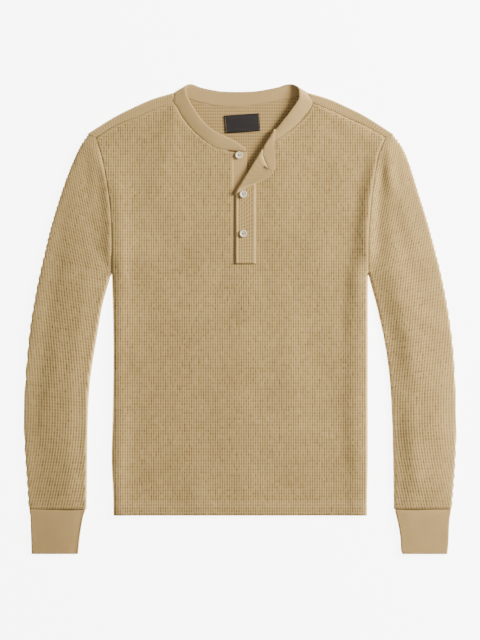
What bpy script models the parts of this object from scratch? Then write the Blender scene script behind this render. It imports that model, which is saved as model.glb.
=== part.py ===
"""Long-sleeved henley pullover in waffle knit, laid flat on its back.

The garment lies on the plane z = 0 with its neck towards +Y and its front up. Each piece that a
maker would cut and sew on is one closed solid: a wall of cloth with its own thickness. Lengths in
the tables are millimetres; the meshes are in metres. Left and right are the viewer's, seen from
above: left is -X.
"""

import math
from collections import namedtuple

import bpy
import numpy as np

MM = 0.001

# ---- cloth -------------------------------------------------------------------------------------
KNIT = 1.8  # waffle knit, thickness of one layer
RIB = 2.2  # folded rib of the neckband and cuffs
FACING = 1.4  # thin facing of the placket's under side
LABEL_CLOTH = 0.9
GAP = 0.4  # between pieces that meet at a seam or lie on each other
HEM_DEPTH = 20.0
HEM_EXTRA = 0.7  # the turned-up layer makes the hem this much thicker
SIDE_ROLL = 3.0  # how far the front rolls in at the side folds
FOLD_RISE = 3.3  # from the lower layer to the upper one, beside a fold
ROW_COUNT_ARC = 4  # facets round a fold

HEM_Y = -332.0
SLOT_Y = 100.0  # foot of the slit in the front
SLOT_HALF = 11.0
ARMPIT_Y = 75.0

# ---- outlines: one row for each level, from the hem upwards -------------------------------------
Level = namedtuple("Level", "y left right")

BODY_SIDE = [
    Level(-332, -214.0, 214.3),
    Level(-300, -215.0, 214.8),
    Level(-233, -217.5, 216.0),
    Level(-169, -216.0, 216.0),
    Level(-56, -214.5, 216.0),
    Level(75, -217.0, 216.0),
]
ARMHOLE = [
    Level(75, -217.0, 216.0),
    Level(114, -217.0, 216.0),
    Level(153, -217.5, 217.0),
    Level(192, -220.0, 220.0),
    Level(231, -225.5, 225.0),
    Level(277, -235.0, 234.0),
    Level(306, -244.0, 246.0),
]
SLEEVE_OUTER = [
    Level(-321, -358.0, 358.0),
    Level(-275, -361.0, 362.0),
    Level(-225, -364.5, 365.0),
    Level(-170, -366.0, 366.0),
    Level(-105, -364.0, 363.8),
    Level(-55, -360.0, 361.0),
    Level(-10, -355.2, 355.8),
    Level(35, -347.8, 348.6),
    Level(70, -341.0, 341.5),
    Level(100, -334.0, 334.5),
    Level(130, -327.2, 326.6),
    Level(160, -319.6, 318.5),
    Level(190, -310.6, 309.5),
    Level(220, -301.0, 300.0),
    Level(250, -290.0, 291.0),
    Level(280, -277.5, 280.0),
    Level(300, -266.6, 269.0),
    Level(313, -257.0, 258.5),
]
SLEEVE_INNER = [
    Level(-321, -259.0, 259.0),
    Level(-248, -258.2, 258.0),
    Level(-169, -257.0, 256.0),
    Level(-112, -254.0, 253.0),
    Level(-67, -248.0, 248.0),
    Level(-26, -241.0, 241.0),
    Level(25, -232.0, 229.5),
    Level(69, -219.5, 217.5),
]

# Shoulder: where the front's edge is sewn, and the fold that makes the outline above it.
Shoulder = namedtuple("Shoulder", "left_x left_y right_x right_y")
SHOULDER_SEAM = [
    Shoulder(-244.0, 306.0, 246.0, 306.0),
    Shoulder(-212.0, 326.5, 210.0, 326.5),
    Shoulder(-178.0, 340.0, 184.0, 338.0),
    Shoulder(-147.0, 353.0, 153.0, 352.0),
    Shoulder(-112.6, 366.0, 122.1, 365.0),
]
SHOULDER_FOLD = [
    Shoulder(-257.0, 313.5, 258.5, 312.5),
    Shoulder(-212.0, 341.5, 214.0, 341.0),
    Shoulder(-178.0, 358.6, 184.0, 356.5),
    Shoulder(-147.0, 372.0, 149.0, 372.0),
    Shoulder(-113.5, 382.0, 115.5, 382.0),
]

# Neckband: a row for each section, from the end with the top button, round the back of the neck,
# to the fold where the other end turns back. The seam is sewn to the body; the edge is free.
Section = namedtuple("Section", "seam_x seam_y seam_z edge_x edge_y edge_z")
BAND_FRONT_LEFT = [
    Section(8.5, 283.6, 4.6, 9.5, 287.5, 4.8),
    Section(0.0, 283.6, 4.6, 4.0, 292.0, 5.2),
    Section(-11.0, 284.4, 4.6, -6.0, 299.0, 5.8),
    Section(-34.0, 286.5, 4.4, -22.0, 307.0, 6.6),
    Section(-58.0, 299.0, 4.4, -44.0, 318.0, 7.4),
    Section(-77.0, 315.0, 4.4, -59.5, 331.0, 8.0),
    Section(-88.0, 327.0, 4.4, -69.5, 343.0, 8.6),
    Section(-98.5, 341.0, 4.6, -78.5, 356.0, 9.2),
    Section(-106.0, 355.0, 5.0, -85.0, 367.0, 9.8),
    Section(-112.6, 366.0, 5.6, -89.6, 377.0, 10.2),
]
BAND_TURN_LEFT = [
    Section(-112.6, 374.5, 5.1, -91.2, 387.0, 9.6),
    Section(-112.4, 381.3, 2.8, -89.4, 394.6, 6.4),
    Section(-107.5, 380.6, 1.2, -84.0, 396.7, 2.6),
]
BAND_BACK = [
    Section(-97.0, 375.5, 1.1, -78.0, 395.8, 1.3),
    Section(-86.0, 371.0, 1.1, -70.0, 392.5, 1.1),
    Section(-60.0, 363.5, 1.1, -50.0, 387.6, 1.1),
    Section(-31.0, 358.7, 1.1, -28.0, 384.4, 1.1),
    Section(0.0, 358.0, 1.1, 0.0, 383.8, 1.1),
    Section(27.0, 361.5, 1.1, 26.0, 385.0, 1.1),
    Section(54.0, 366.5, 1.1, 48.0, 388.5, 1.1),
    Section(80.0, 371.0, 1.1, 68.0, 393.0, 1.1),
    Section(95.0, 375.5, 1.1, 76.0, 396.0, 1.3),
]
BAND_TURN_RIGHT = [
    Section(108.5, 380.8, 1.2, 84.5, 396.7, 2.8),
    Section(114.0, 381.0, 3.0, 92.8, 394.0, 7.0),
    Section(117.4, 374.2, 5.4, 99.0, 386.0, 10.8),
]
BAND_FRONT_RIGHT = [
    Section(122.1, 365.0, 6.0, 99.5, 375.5, 11.6),
    Section(117.0, 352.5, 5.4, 95.0, 365.0, 11.2),
    Section(107.5, 341.0, 5.0, 86.5, 353.5, 10.4),
    Section(97.0, 329.0, 5.0, 78.0, 342.0, 9.4),
    Section(82.0, 316.0, 5.2, 70.0, 332.0, 8.4),
    Section(64.0, 304.0, 5.6, 65.0, 326.0, 7.4),
]

# The front's top corner and the band's end turn back over this line, through FOLD_FOOT.
FOLD_FOOT = (-1.0, 220.0)
FOLD_ANGLE = math.radians(58.4)
FOLD_RADIUS = 1.9
TURNED_LIFT = 2.5  # the turned corner starts this far above the front's middle surface
# Where band and placket meet in the corner that turns back, as it lies before it is turned.
CORNER_SEAM = [(44.5, 293.4), (38.0, 287.0), (29.0, 281.0), (10.0, 279.8), (-8.0, 279.8)]
CORNER_EDGE = [(61.5, 320.8), (40.0, 308.5), (20.0, 299.0), (-0.5, 290.0)]
TURNED_ROWS = [14.0, 22.0, 29.5, 35.6]  # distances from the fold line

PLACKET_LEFT = -8.0
# Rows of the upper placket below its fold: heights at its left and right edges.
PlacketRow = namedtuple("PlacketRow", "left_y right_y right_x")
PLACKET_ROWS = [
    PlacketRow(93.5, 93.5, 26.0),
    PlacketRow(110.0, 110.0, 26.0),
    PlacketRow(135.0, 138.0, 26.0),
    PlacketRow(158.0, 172.0, 26.0),
    PlacketRow(180.0, 212.0, 26.0),
    PlacketRow(195.0, 249.0, 26.0),
    PlacketRow(202.0, 288.5, 46.0),
]
UNDER_TOP = 282.8
UNDER_ROWS = 9

Cuff = namedtuple("Cuff", "y left_inner left_outer right_inner right_outer")
CUFF = [
    Cuff(-321.8, -260.5, -357.0, 260.5, 357.0),
    Cuff(-332.0, -264.0, -355.2, 263.0, 355.0),
    Cuff(-350.0, -267.5, -354.5, 267.0, 353.3),
    Cuff(-372.0, -270.8, -353.8, 270.2, 352.6),
    Cuff(-390.0, -272.6, -353.2, 271.0, 351.2),
    Cuff(-396.9, -273.2, -353.0, 273.5, 350.4),
]
CUFF_RISE = 3.0  # from the lower layer's middle to the upper one's

# ---- relief: soft ridges and troughs, each along a line -----------------------------------------
Fold = namedtuple("Fold", "x0 y0 x1 y1 width height")
FRONT_FOLDS = [
    Fold(-204, -330, -203, 90, 13, 1.7),
    Fold(-200, 90, -206, 215, 13, 1.6),
    Fold(198, -330, 197, 60, 20, 1.9),
    Fold(196, 60, 214, 215, 12, 1.1),
    Fold(178, -300, 172, -10, 9, -0.5),
    Fold(172, -10, 196, 210, 9, -0.6),
    Fold(-150, -260, -128, -40, 17, 0.5),
    Fold(-70, -300, -84, -20, 20, 0.6),
    Fold(4, -290, 10, 40, 22, 0.7),
    Fold(92, -280, 80, 0, 20, 0.5),
    Fold(-160, 120, -120, 330, 26, 0.8),
    Fold(128, 110, 150, 300, 26, 0.9),
    Fold(-60, 60, -60, 250, 22, 0.5),
    Fold(70, 60, 78, 250, 20, 0.6),
    Fold(-235, 296, -150, 350, 12, 0.9),
    Fold(236, 296, 150, 348, 12, 0.9),
]
SLEEVE_FOLDS = [
    Fold(-300, 190, -332, -30, 12, -0.5),
    Fold(-340, -60, -346, -290, 12, -0.6),
    Fold(-262, 280, -246, 120, 8, -0.6),
    Fold(-252, -150, -300, -190, 12, 0.6),
    Fold(-300, -300, -262, -240, 10, 0.5),
    Fold(262, 292, 268, 200, 7, -0.7),
    Fold(252, 240, 290, 150, 9, 0.6),
    Fold(262, 30, 348, -18, 13, 0.8),
    Fold(262, -30, 330, -70, 12, -0.6),
    Fold(268, -130, 300, -260, 12, 0.6),
    Fold(340, -80, 346, -280, 14, 0.5),
]
AIR = 0.8  # the upper layer's rest above the lower one, without ridges
SLEEVE_CROWN = 4.0
CUFF_CROWN = 0.5
CROWN_LEAN = 0.65  # below 1, a sleeve's crown is highest nearer to the body than to the outside
FOLD_FADE = 1.6  # a fold fades out past its ends over this many of its widths

BUTTON_RADIUS, BUTTON_THICK, BUTTON_STANDOFF = 6.2, 2.4, 0.6
BUTTON_HOLE_RADIUS, BUTTON_HOLE_PITCH = 0.8, 1.5
BUTTONS = [(-2.2, 276.6), (5.1, 210.4), (5.1, 144.0)]
LABEL_CENTRE, LABEL_SIZE, LABEL_TURN = (3.5, 330.6), (59.0, 30.0), math.radians(4.0)
LABEL_BOW = 0.7  # the label's middle stands up this much between its sewn ends
LABEL_ACROSS = [-0.5, -0.44, -0.2, 0.0, 0.2, 0.44, 0.5]


# ---- small helpers ------------------------------------------------------------------------------
def smooth(ts, vs, t):
    """A curve through the points (ts, vs) that never overshoots them, read at t."""
    ts, vs = np.asarray(ts, float), np.asarray(vs, float)
    t = float(np.clip(t, ts[0], ts[-1]))
    slopes = np.diff(vs) / np.diff(ts)
    inner = np.where(slopes[1:] * slopes[:-1] > 0, (slopes[1:] + slopes[:-1]) / 2, 0.0)
    limit = 2.5 * np.minimum(abs(slopes[1:]), abs(slopes[:-1]))
    inner = np.sign(inner) * np.minimum(abs(inner), limit)
    tangents = np.concatenate(([slopes[0]], inner, [slopes[-1]]))
    i = int(np.clip(np.searchsorted(ts, t) - 1, 0, len(ts) - 2))
    h = ts[i + 1] - ts[i]
    u = (t - ts[i]) / h
    return float(
        vs[i] * (1 + 2 * u) * (1 - u) ** 2
        + vs[i + 1] * u * u * (3 - 2 * u)
        + tangents[i] * h * u * (1 - u) ** 2
        - tangents[i + 1] * h * u * u * (1 - u)
    )


def level(table, side, y):
    """The x of an outline at height y."""
    return smooth([row.y for row in table], [getattr(row, side) for row in table], y)


def relief(folds, x, y):
    """The height that a table of folds adds at (x, y)."""
    total = 0.0
    for f in folds:
        dx, dy = f.x1 - f.x0, f.y1 - f.y0
        length = math.hypot(dx, dy)
        along = ((x - f.x0) * dx + (y - f.y0) * dy) / length
        across = ((x - f.x0) * dy - (y - f.y0) * dx) / length
        past = max(-along, along - length, 0.0)
        total += f.height * math.exp(-((across / f.width) ** 2) - (past / (FOLD_FADE * f.width)) ** 2)
    return total


def front_height(x, y):
    """The middle surface of the front, above the back panel."""
    return 1.5 * KNIT + GAP + AIR + max(relief(FRONT_FOLDS, x, y), -AIR + 0.05)


def unit(dx, dy):
    length = math.hypot(dx, dy)
    return dx / length, dy / length


def mix(a, b, t):
    return a + (b - a) * t


def arc_angles(start, end):
    return [math.radians(mix(start, end, k / ROW_COUNT_ARC)) for k in range(ROW_COUNT_ARC + 1)]


# ---- solids -------------------------------------------------------------------------------------
def material(name, colour, roughness):
    found = bpy.data.materials.get(name)
    if found:
        return found
    made = bpy.data.materials.new(name)
    made.use_nodes = True
    shader = made.node_tree.nodes["Principled BSDF"]
    shader.inputs["Base Color"].default_value = (*colour, 1.0)
    shader.inputs["Roughness"].default_value = roughness
    shader.inputs["Metallic"].default_value = 0.0
    return made


def waffle_material():
    return material("waffle_knit", (0.50, 0.37, 0.20), 0.95)


def rib_material():
    return material("rib_knit", (0.51, 0.37, 0.21), 0.9)


def button_material():
    return material("button_shell", (0.86, 0.84, 0.78), 0.35)


def label_material():
    return material("label_cloth", (0.03, 0.02, 0.03), 0.8)


def add_object(name, points, faces, look):
    mesh = bpy.data.meshes.new(name)
    mesh.from_pydata([tuple(c * MM for c in p) for p in points], [], faces)
    mesh.validate()
    mesh.materials.append(look)
    made = bpy.data.objects.new(name, mesh)
    bpy.context.scene.collection.objects.link(made)
    return made


def wall(name, middle, cells, thickness, look):
    """A closed wall of cloth round a middle surface.

    middle maps a key to a point, cells are quads of keys, wound so that their normal points out of
    the garment, and thickness is one number or a function of the key.
    """
    keys = list(middle)
    index = {key: n for n, key in enumerate(keys)}
    points = np.array([middle[key] for key in keys], float)
    quads = np.array([[index[key] for key in cell] for cell in cells])
    corners = points[quads]
    normals = np.cross(corners[:, 2] - corners[:, 0], corners[:, 3] - corners[:, 1])
    normals /= np.linalg.norm(normals, axis=1)[:, None]
    sums = np.zeros_like(points)
    for side in range(4):
        np.add.at(sums, quads[:, side], normals)
    sums /= np.linalg.norm(sums, axis=1)[:, None]
    half = np.array([thickness(key) if callable(thickness) else thickness for key in keys]) / 2
    outer, inner = points + sums * half[:, None], points - sums * half[:, None]
    count = len(keys)
    faces = [tuple(int(n) for n in quad) for quad in quads]
    faces += [tuple(int(n) + count for n in quad[::-1]) for quad in quads]
    directed = {(int(quad[k]), int(quad[(k + 1) % 4])) for quad in quads for k in range(4)}
    for a, b in sorted(directed):
        if (b, a) not in directed:
            faces.append((b, a, a + count, b + count))
    return add_object(name, np.concatenate((outer, inner)), faces, look)


def grid_cells(rows, columns, present=lambda r, c: True):
    return [
        ((r, c), (r, c + 1), (r + 1, c + 1), (r + 1, c))
        for r in range(rows - 1)
        for c in range(columns - 1)
        if present(r, c)
    ]


# ---- body ---------------------------------------------------------------------------------------
LOWER_ROWS = [HEM_Y, HEM_Y + HEM_DEPTH - 1.5, HEM_Y + HEM_DEPTH + 0.5]
LOWER_ROWS += [-290, -250, -205, -160, -110, -60, -10, 35, ARMPIT_Y, SLOT_Y]
UPPER_SHARES = [0.14, 0.28, 0.42, 0.56, 0.70, 0.85, 1.0]
ARMPIT_ROW = LOWER_ROWS.index(ARMPIT_Y)
SLOT_ROW = LOWER_ROWS.index(SLOT_Y)
FRONT_ROWS = len(LOWER_ROWS) + len(UPPER_SHARES)
ROLL_STEPS = 3
ROLL_END = 0.22  # the rolled edge's middle ends this high, so that its underside meets z = 0


def fold_line_y(x):
    return FOLD_FOOT[1] + (x - FOLD_FOOT[0]) * math.tan(FOLD_ANGLE)


def front_top(side):
    """The front's upper boundary, from the armhole to the slit, as (x, y, height or None)."""
    if side == "left":
        points = [(s.left_x, s.left_y, None) for s in SHOULDER_SEAM[:-1]]
        points += [(b.seam_x, b.seam_y, b.seam_z) for b in reversed(BAND_FRONT_LEFT[2:])]
        return points
    points = [(s.right_x, s.right_y, None) for s in SHOULDER_SEAM[:-1]]
    points += [(b.seam_x, b.seam_y, b.seam_z) for b in BAND_FRONT_RIGHT]
    points += [(x, fold_line_y(x), None) for x in (44.0, 33.0, 22.0, SLOT_HALF)]
    return points


def armhole_points(side):
    """The armhole seam from the armpit to the shoulder, at the rows of the body's panels."""
    top = ARMHOLE[-1].y
    heights = [ARMPIT_Y, SLOT_Y] + [mix(SLOT_Y, top, share) for share in UPPER_SHARES]
    return [(level(ARMHOLE, side, y), y) for y in heights]


def front_half(side):
    """The points of one half of the front, with the roll at its side fold, keyed (row, column)."""
    sign = -1 if side == "left" else 1
    tops = front_top(side)
    arm_x = tops[0][0]
    slit_x = sign * SLOT_HALF
    points = {}
    for c, (top_x, top_y, top_z) in enumerate(tops):
        share = (top_x - arm_x) / (slit_x - arm_x)
        for r, y in enumerate(LOWER_ROWS):
            if y > ARMPIT_Y:
                edge = level(ARMHOLE, side, y)
            else:
                edge = level(BODY_SIDE, side, y) - sign * (KNIT / 2 + SIDE_ROLL)
            x = mix(edge, slit_x, share)
            points[r, c] = (x, y, front_height(x, y))
        for k, part in enumerate(UPPER_SHARES):
            edge = level(ARMHOLE, side, mix(SLOT_Y, ARMHOLE[-1].y, part))
            x, y = mix(edge, slit_x, share), mix(SLOT_Y, top_y, part)
            extra = 0.0 if top_z is None else top_z - front_height(top_x, top_y)
            points[SLOT_ROW + 1 + k, c] = (x, y, front_height(x, y) + extra * part**3)
    for r, y in enumerate(LOWER_ROWS[: ARMPIT_ROW + 1]):
        x_in, _, z_top = points[r, 0]
        for k in range(1, ROLL_STEPS + 1):
            turn = math.radians(90 * k / ROLL_STEPS)
            low = ROLL_END + (z_top - ROLL_END) * math.cos(turn)
            points[r, -k] = (x_in + sign * SIDE_ROLL * math.sin(turn), y, low)
    return points, len(tops)


def front_panel():
    left, left_count = front_half("left")
    right, right_count = front_half("right")
    points = {(r, c): p for (r, c), p in left.items()}
    last = left_count + right_count - 1
    points.update({(r, last - c): p for (r, c), p in right.items()})
    cells = []
    for r in range(FRONT_ROWS - 1):
        for c in range(-ROLL_STEPS, last + ROLL_STEPS):
            rolled = c < 0 or c >= last
            in_slot = c == left_count - 1 and r >= SLOT_ROW
            if (rolled and r >= ARMPIT_ROW) or in_slot:
                continue
            cells.append(((r, c), (r, c + 1), (r + 1, c + 1), (r + 1, c)))

    def thickness(key):
        return KNIT + (HEM_EXTRA if key[0] < 2 else 0.0)

    wall("front_panel", points, cells, thickness, waffle_material())


BACK_LOWER = [HEM_Y + 1.0, -200, -60, ARMPIT_Y, SLOT_Y]
BACK_INSET = KNIT + SIDE_ROLL + GAP  # the front rolls over the back's side edges
SHOULDER_FLAT = 3.0  # the back lies flat up to this far from the shoulder's fold
BACK_NECK = [BAND_TURN_LEFT[-1], *BAND_BACK, BAND_TURN_RIGHT[0]]


def back_edge(side, y):
    sign = -1 if side == "left" else 1
    if y > SHOULDER_FOLD[0].left_y:
        return getattr(SHOULDER_FOLD[0], side + "_x")
    if y > ARMHOLE[-1].y:
        return level(ARMHOLE, side, ARMHOLE[-1].y)
    if y > ARMPIT_Y:
        return level(ARMHOLE, side, y)
    return level(BODY_SIDE, side, y) - sign * BACK_INSET


def shoulder_path(side, k):
    """Over the shoulder: from the lower layer round the fold to the seam with the front."""
    seam_x, seam_y = getattr(SHOULDER_SEAM[k], side + "_x"), getattr(SHOULDER_SEAM[k], side + "_y")
    fold_x, fold_y = getattr(SHOULDER_FOLD[k], side + "_x"), getattr(SHOULDER_FOLD[k], side + "_y")
    ox, oy = unit(fold_x - seam_x, fold_y - seam_y)
    seam_z = front_height(seam_x, seam_y)
    if k == len(SHOULDER_SEAM) - 1:
        seam_z = (BAND_FRONT_LEFT[-1] if side == "left" else BAND_FRONT_RIGHT[0]).seam_z
    upper = mix(KNIT / 2 + FOLD_RISE, seam_z, 0.5)
    radius = (upper - KNIT / 2) / 2
    reach = radius + KNIT / 2
    cx, cy = fold_x - ox * reach, fold_y - oy * reach
    path = [(cx - SHOULDER_FLAT * ox, cy - SHOULDER_FLAT * oy, KNIT / 2)]
    for turn in arc_angles(-90, 90):
        out = radius * math.cos(turn)
        path.append((cx + ox * out, cy + oy * out, KNIT / 2 + radius * (1 + math.sin(turn))))
    end_x, end_y = seam_x + ox * GAP, seam_y + oy * GAP
    for share in (0.5, 1.0):
        path.append((mix(cx, end_x, share), mix(cy, end_y, share), mix(upper, seam_z, share)))
    return path


def back_panel():
    tops = [shoulder_path("left", k) for k in range(len(SHOULDER_FOLD))]
    tops += [[(b.seam_x, b.seam_y, KNIT / 2)] for b in BACK_NECK]
    tops += [shoulder_path("right", k) for k in reversed(range(len(SHOULDER_FOLD)))]
    first, last = tops[0][0][0], tops[-1][0][0]
    arms = {side: armhole_points(side) for side in ("left", "right")}
    points, columns = {}, len(tops)
    for c, path in enumerate(tops):
        top_x, top_y, _ = path[0]
        share = (top_x - first) / (last - first)
        for r, y in enumerate(BACK_LOWER):
            x = mix(back_edge("left", y), back_edge("right", y), share)
            points[r, c] = (x, y, KNIT / 2)
        for k, part in enumerate(UPPER_SHARES):
            arm_y = arms["left"][k + 2][1]
            base = mix(back_edge("left", arm_y), back_edge("right", arm_y), share)
            x, y = mix(base, top_x, part**2), mix(SLOT_Y, top_y, part)
            if c in (0, columns - 1):
                x, y = arms["left" if c == 0 else "right"][k + 2]
            points[len(BACK_LOWER) + k, c] = (x, y, KNIT / 2)
        for k, point in enumerate(path[1:]):
            points[len(BACK_LOWER) + len(UPPER_SHARES) + k, c] = point
    flat_rows = len(BACK_LOWER) + len(UPPER_SHARES)
    rows = flat_rows + len(tops[0]) - 1
    shoulder = len(SHOULDER_FOLD) - 1

    def present(r, c):
        return r < flat_rows - 1 or c < shoulder or c >= columns - 1 - shoulder

    cells = [cell[::-1] for cell in grid_cells(rows, columns, present)]
    wall("back_panel", points, cells, KNIT, waffle_material())


# ---- sleeves ------------------------------------------------------------------------------------
UPPER_STEPS = [0.14, 0.32, 0.5, 0.68, 0.86]
LOWER_STEPS = [0.75, 0.5, 0.25]
SLEEVE_LOW_YS = [52, 25, -10, -50, -95, -145, -195, -245, -290, -321]
ARMPIT_CLEAR = 0.7  # more room where the underarm fold begins
UNDERARM_STEP = 0.8  # the underarm fold begins this far below the last armhole row
UNDERARM_BOW = 0.1
SECTION_SLANT = 27.0  # at the armpit a section's outer end is this much higher than its inner end
SLANT_BELOW = 25.0  # the same at the first section below the armpit; it fades out to the cuff
SLANT_FADE = 1.5
ARM_SPREAD = 1.15  # above 1, sections lie closer together at the shoulder
SEAM_DIP = {"left": -0.9, "right": 0.9}  # the sleeve's height beside the armhole, over the front's


def tube_section(inner, outer, lower, rise, crown):
    """A flattened tube's section, from the inner fold's top round to its bottom, as points.

    inner and outer are the outline's two points, lower is the lower layer's middle height, rise is
    the height of the folds and crown(x, y, share) adds to the upper layer.
    """
    dx, dy = unit(outer[0] - inner[0], outer[1] - inner[1])
    radius = rise / 2
    reach = radius + lower
    a = (inner[0] + dx * reach, inner[1] + dy * reach)
    b = (outer[0] - dx * reach, outer[1] - dy * reach)
    section = []
    for share in UPPER_STEPS:
        x, y = mix(a[0], b[0], share), mix(a[1], b[1], share)
        section.append((x, y, lower + rise + crown(x, y, share)))
    for turn in arc_angles(90, -90):
        out = radius * math.cos(turn)
        height = lower + radius * (1 + math.sin(turn))
        section.append((b[0] + dx * out, b[1] + dy * out, height))
    for share in LOWER_STEPS:
        section.append((mix(a[0], b[0], share), mix(a[1], b[1], share), lower))
    for turn in arc_angles(-90, 90):
        out = radius * math.cos(turn)
        height = lower + radius * (1 + math.sin(turn))
        section.append((a[0] - dx * out, a[1] - dy * out, height))
    return section


def sleeve_crown(x, y, share):
    return SLEEVE_CROWN * math.sin(math.pi * share**CROWN_LEAN) + relief(SLEEVE_FOLDS, x, y)


def sleeve(side):
    """Sections run from the shoulder down. Above the armpit they are open at the armhole."""
    sign = -1 if side == "left" else 1
    arms = armhole_points(side)[::-1]
    top = (getattr(SHOULDER_FOLD[0], side + "_x"), getattr(SHOULDER_FOLD[0], side + "_y"))
    armpit_outer_y = ARMPIT_Y + SECTION_SLANT
    count_above = len(arms)
    points = {}
    for r, (arm_x, arm_y) in enumerate(arms):
        y_out = mix(top[1], armpit_outer_y, (r / (count_above - 1)) ** ARM_SPREAD)
        outer = (level(SLEEVE_OUTER, side, y_out), y_out)
        if r == 0:
            outer = top
        dx, dy = unit(outer[0] - arm_x, outer[1] - arm_y)
        clear = GAP + (ARMPIT_CLEAR if r == count_above - 1 else 0.0)
        inner = (arm_x + dx * clear, arm_y + dy * clear)
        if r == 0:
            shift_x, shift_y = unit(sign * 0.5, -0.87)
            inner = (inner[0] + shift_x * GAP, inner[1] + shift_y * GAP)
            outer = (outer[0] + shift_x * GAP, outer[1] + shift_y * GAP)
        ends = min(1.0, r / 2)
        section = tube_section(
            inner,
            outer,
            KNIT / 2,
            FOLD_RISE,
            lambda x, y, share: ends * sleeve_crown(x, y, share),
        )
        body_z = front_height(arm_x, arm_y) + SEAM_DIP[side] * ends
        for c in range(len(UPPER_STEPS)):
            x, y, z = section[c]
            near = 1.0 - UPPER_STEPS[c]
            section[c] = (x, y, z + (body_z - KNIT / 2 - FOLD_RISE) * near**3)
        open_part = len(UPPER_STEPS) + ROW_COUNT_ARC + 1 + len(LOWER_STEPS)
        for c in range(open_part):
            points[r, c + 1] = section[c]
        points[r, 0] = (*inner, body_z)
        points[r, open_part + 1] = (*inner, KNIT / 2)
    armpit = count_above - 1
    inner_arc = len(UPPER_STEPS) + ROW_COUNT_ARC + 1 + len(LOWER_STEPS) + 1
    for n, y_in in enumerate(SLEEVE_LOW_YS):
        share = (SLEEVE_LOW_YS[0] - y_in) / (SLEEVE_LOW_YS[0] - SLEEVE_LOW_YS[-1])
        y_out = y_in + SLANT_BELOW * (1 - share) ** SLANT_FADE
        inner = (level(SLEEVE_INNER, side, y_in), y_in)
        outer = (level(SLEEVE_OUTER, side, y_out), y_out)
        section = tube_section(inner, outer, KNIT / 2, FOLD_RISE, sleeve_crown)
        r = armpit + 1 + n
        for c, point in enumerate(section):
            points[r, c + 1] = point
    x, y, z_top = points[armpit, 0]
    for k in range(1, ROW_COUNT_ARC):
        turn = math.radians(mix(-90, 90, k / ROW_COUNT_ARC))
        radius = (z_top - KNIT / 2) / 2
        height = KNIT / 2 + radius * (1 + math.sin(turn))
        bow = sign * UNDERARM_BOW * math.cos(turn)
        points[armpit, inner_arc + k] = (x - bow, y - UNDERARM_STEP, height)
    ring = inner_arc + ROW_COUNT_ARC
    for r in range(armpit + 1, armpit + 1 + len(SLEEVE_LOW_YS)):
        points[r, 0] = points.pop((r, ring))
    cells = []
    for r in range(armpit + len(SLEEVE_LOW_YS)):
        for c in range(ring):
            if r < armpit and c >= inner_arc:
                continue
            after = (c + 1) % ring
            cell = ((r, c), (r, after), (r + 1, after), (r + 1, c))
            cells.append(cell[::-1] if side == "right" else cell)
    wall(f"sleeve_{side}", points, cells, KNIT, waffle_material())


def cuff(side):
    points = {}
    for r, row in enumerate(CUFF):
        inner = (getattr(row, side + "_inner"), row.y)
        outer = (getattr(row, side + "_outer"), row.y)
        section = tube_section(
            inner,
            outer,
            RIB / 2,
            CUFF_RISE,
            lambda x, y, share: CUFF_CROWN * math.sin(math.pi * share),
        )
        for c, point in enumerate(section):
            points[r, c] = point
    ring = len(section)
    cells = []
    for r in range(len(CUFF) - 1):
        for c in range(ring):
            after = (c + 1) % ring
            cell = ((r, c), (r, after), (r + 1, after), (r + 1, c))
            cells.append(cell[::-1] if side == "right" else cell)
    wall(f"cuff_{side}", points, cells, RIB, rib_material())


# ---- neck ---------------------------------------------------------------------------------------
FOLD_ALONG = (math.cos(FOLD_ANGLE), math.sin(FOLD_ANGLE))
FOLD_OUT = (-math.sin(FOLD_ANGLE), math.cos(FOLD_ANGLE))  # towards the part that turns back


def past_fold(x, y):
    return (x - FOLD_FOOT[0]) * FOLD_OUT[0] + (y - FOLD_FOOT[1]) * FOLD_OUT[1]


def turned(x, y, lift):
    """Where a point of the unturned corner lies once it is folded back over the fold line."""
    s = past_fold(x, y)
    along = (x - FOLD_FOOT[0]) * FOLD_ALONG[0] + (y - FOLD_FOOT[1]) * FOLD_ALONG[1]
    bend = min(max(s / FOLD_RADIUS, 0.0), math.pi)
    out = min(s, 0.0) - max(s - math.pi * FOLD_RADIUS, 0.0) + FOLD_RADIUS * math.sin(bend)
    px = FOLD_FOOT[0] + along * FOLD_ALONG[0] + out * FOLD_OUT[0]
    py = FOLD_FOOT[1] + along * FOLD_ALONG[1] + out * FOLD_OUT[1]
    return px, py, front_height(px, py) + lift + FOLD_RADIUS * (1 - math.cos(bend))


def corner_line(line, s, shift):
    """The point of a corner's line at distance s past the fold, moved along the fold by shift."""
    distances = [past_fold(*p) for p in line]
    x = float(np.interp(s, distances, [p[0] for p in line]))
    y = float(np.interp(s, distances, [p[1] for p in line]))
    return x + shift * FOLD_ALONG[0], y + shift * FOLD_ALONG[1]


def turned_rows():
    bend = [math.pi * FOLD_RADIUS * k / ROW_COUNT_ARC for k in range(ROW_COUNT_ARC + 1)]
    return bend + TURNED_ROWS


BAND_SHARES = [0.0, 0.35, 0.7, 1.0]
BAND_BULGE = 0.5


def band_section(section, bulge):
    ox, oy = unit(section.edge_x - section.seam_x, section.edge_y - section.seam_y)
    start = (section.seam_x + ox * GAP, section.seam_y + oy * GAP, section.seam_z)
    end = (section.edge_x, section.edge_y, section.edge_z)
    points = []
    for share in BAND_SHARES:
        x, y, z = (mix(a, b, share) for a, b in zip(start, end))
        points.append((x, y, z + bulge * math.sin(math.pi * share)))
    return points


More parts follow.
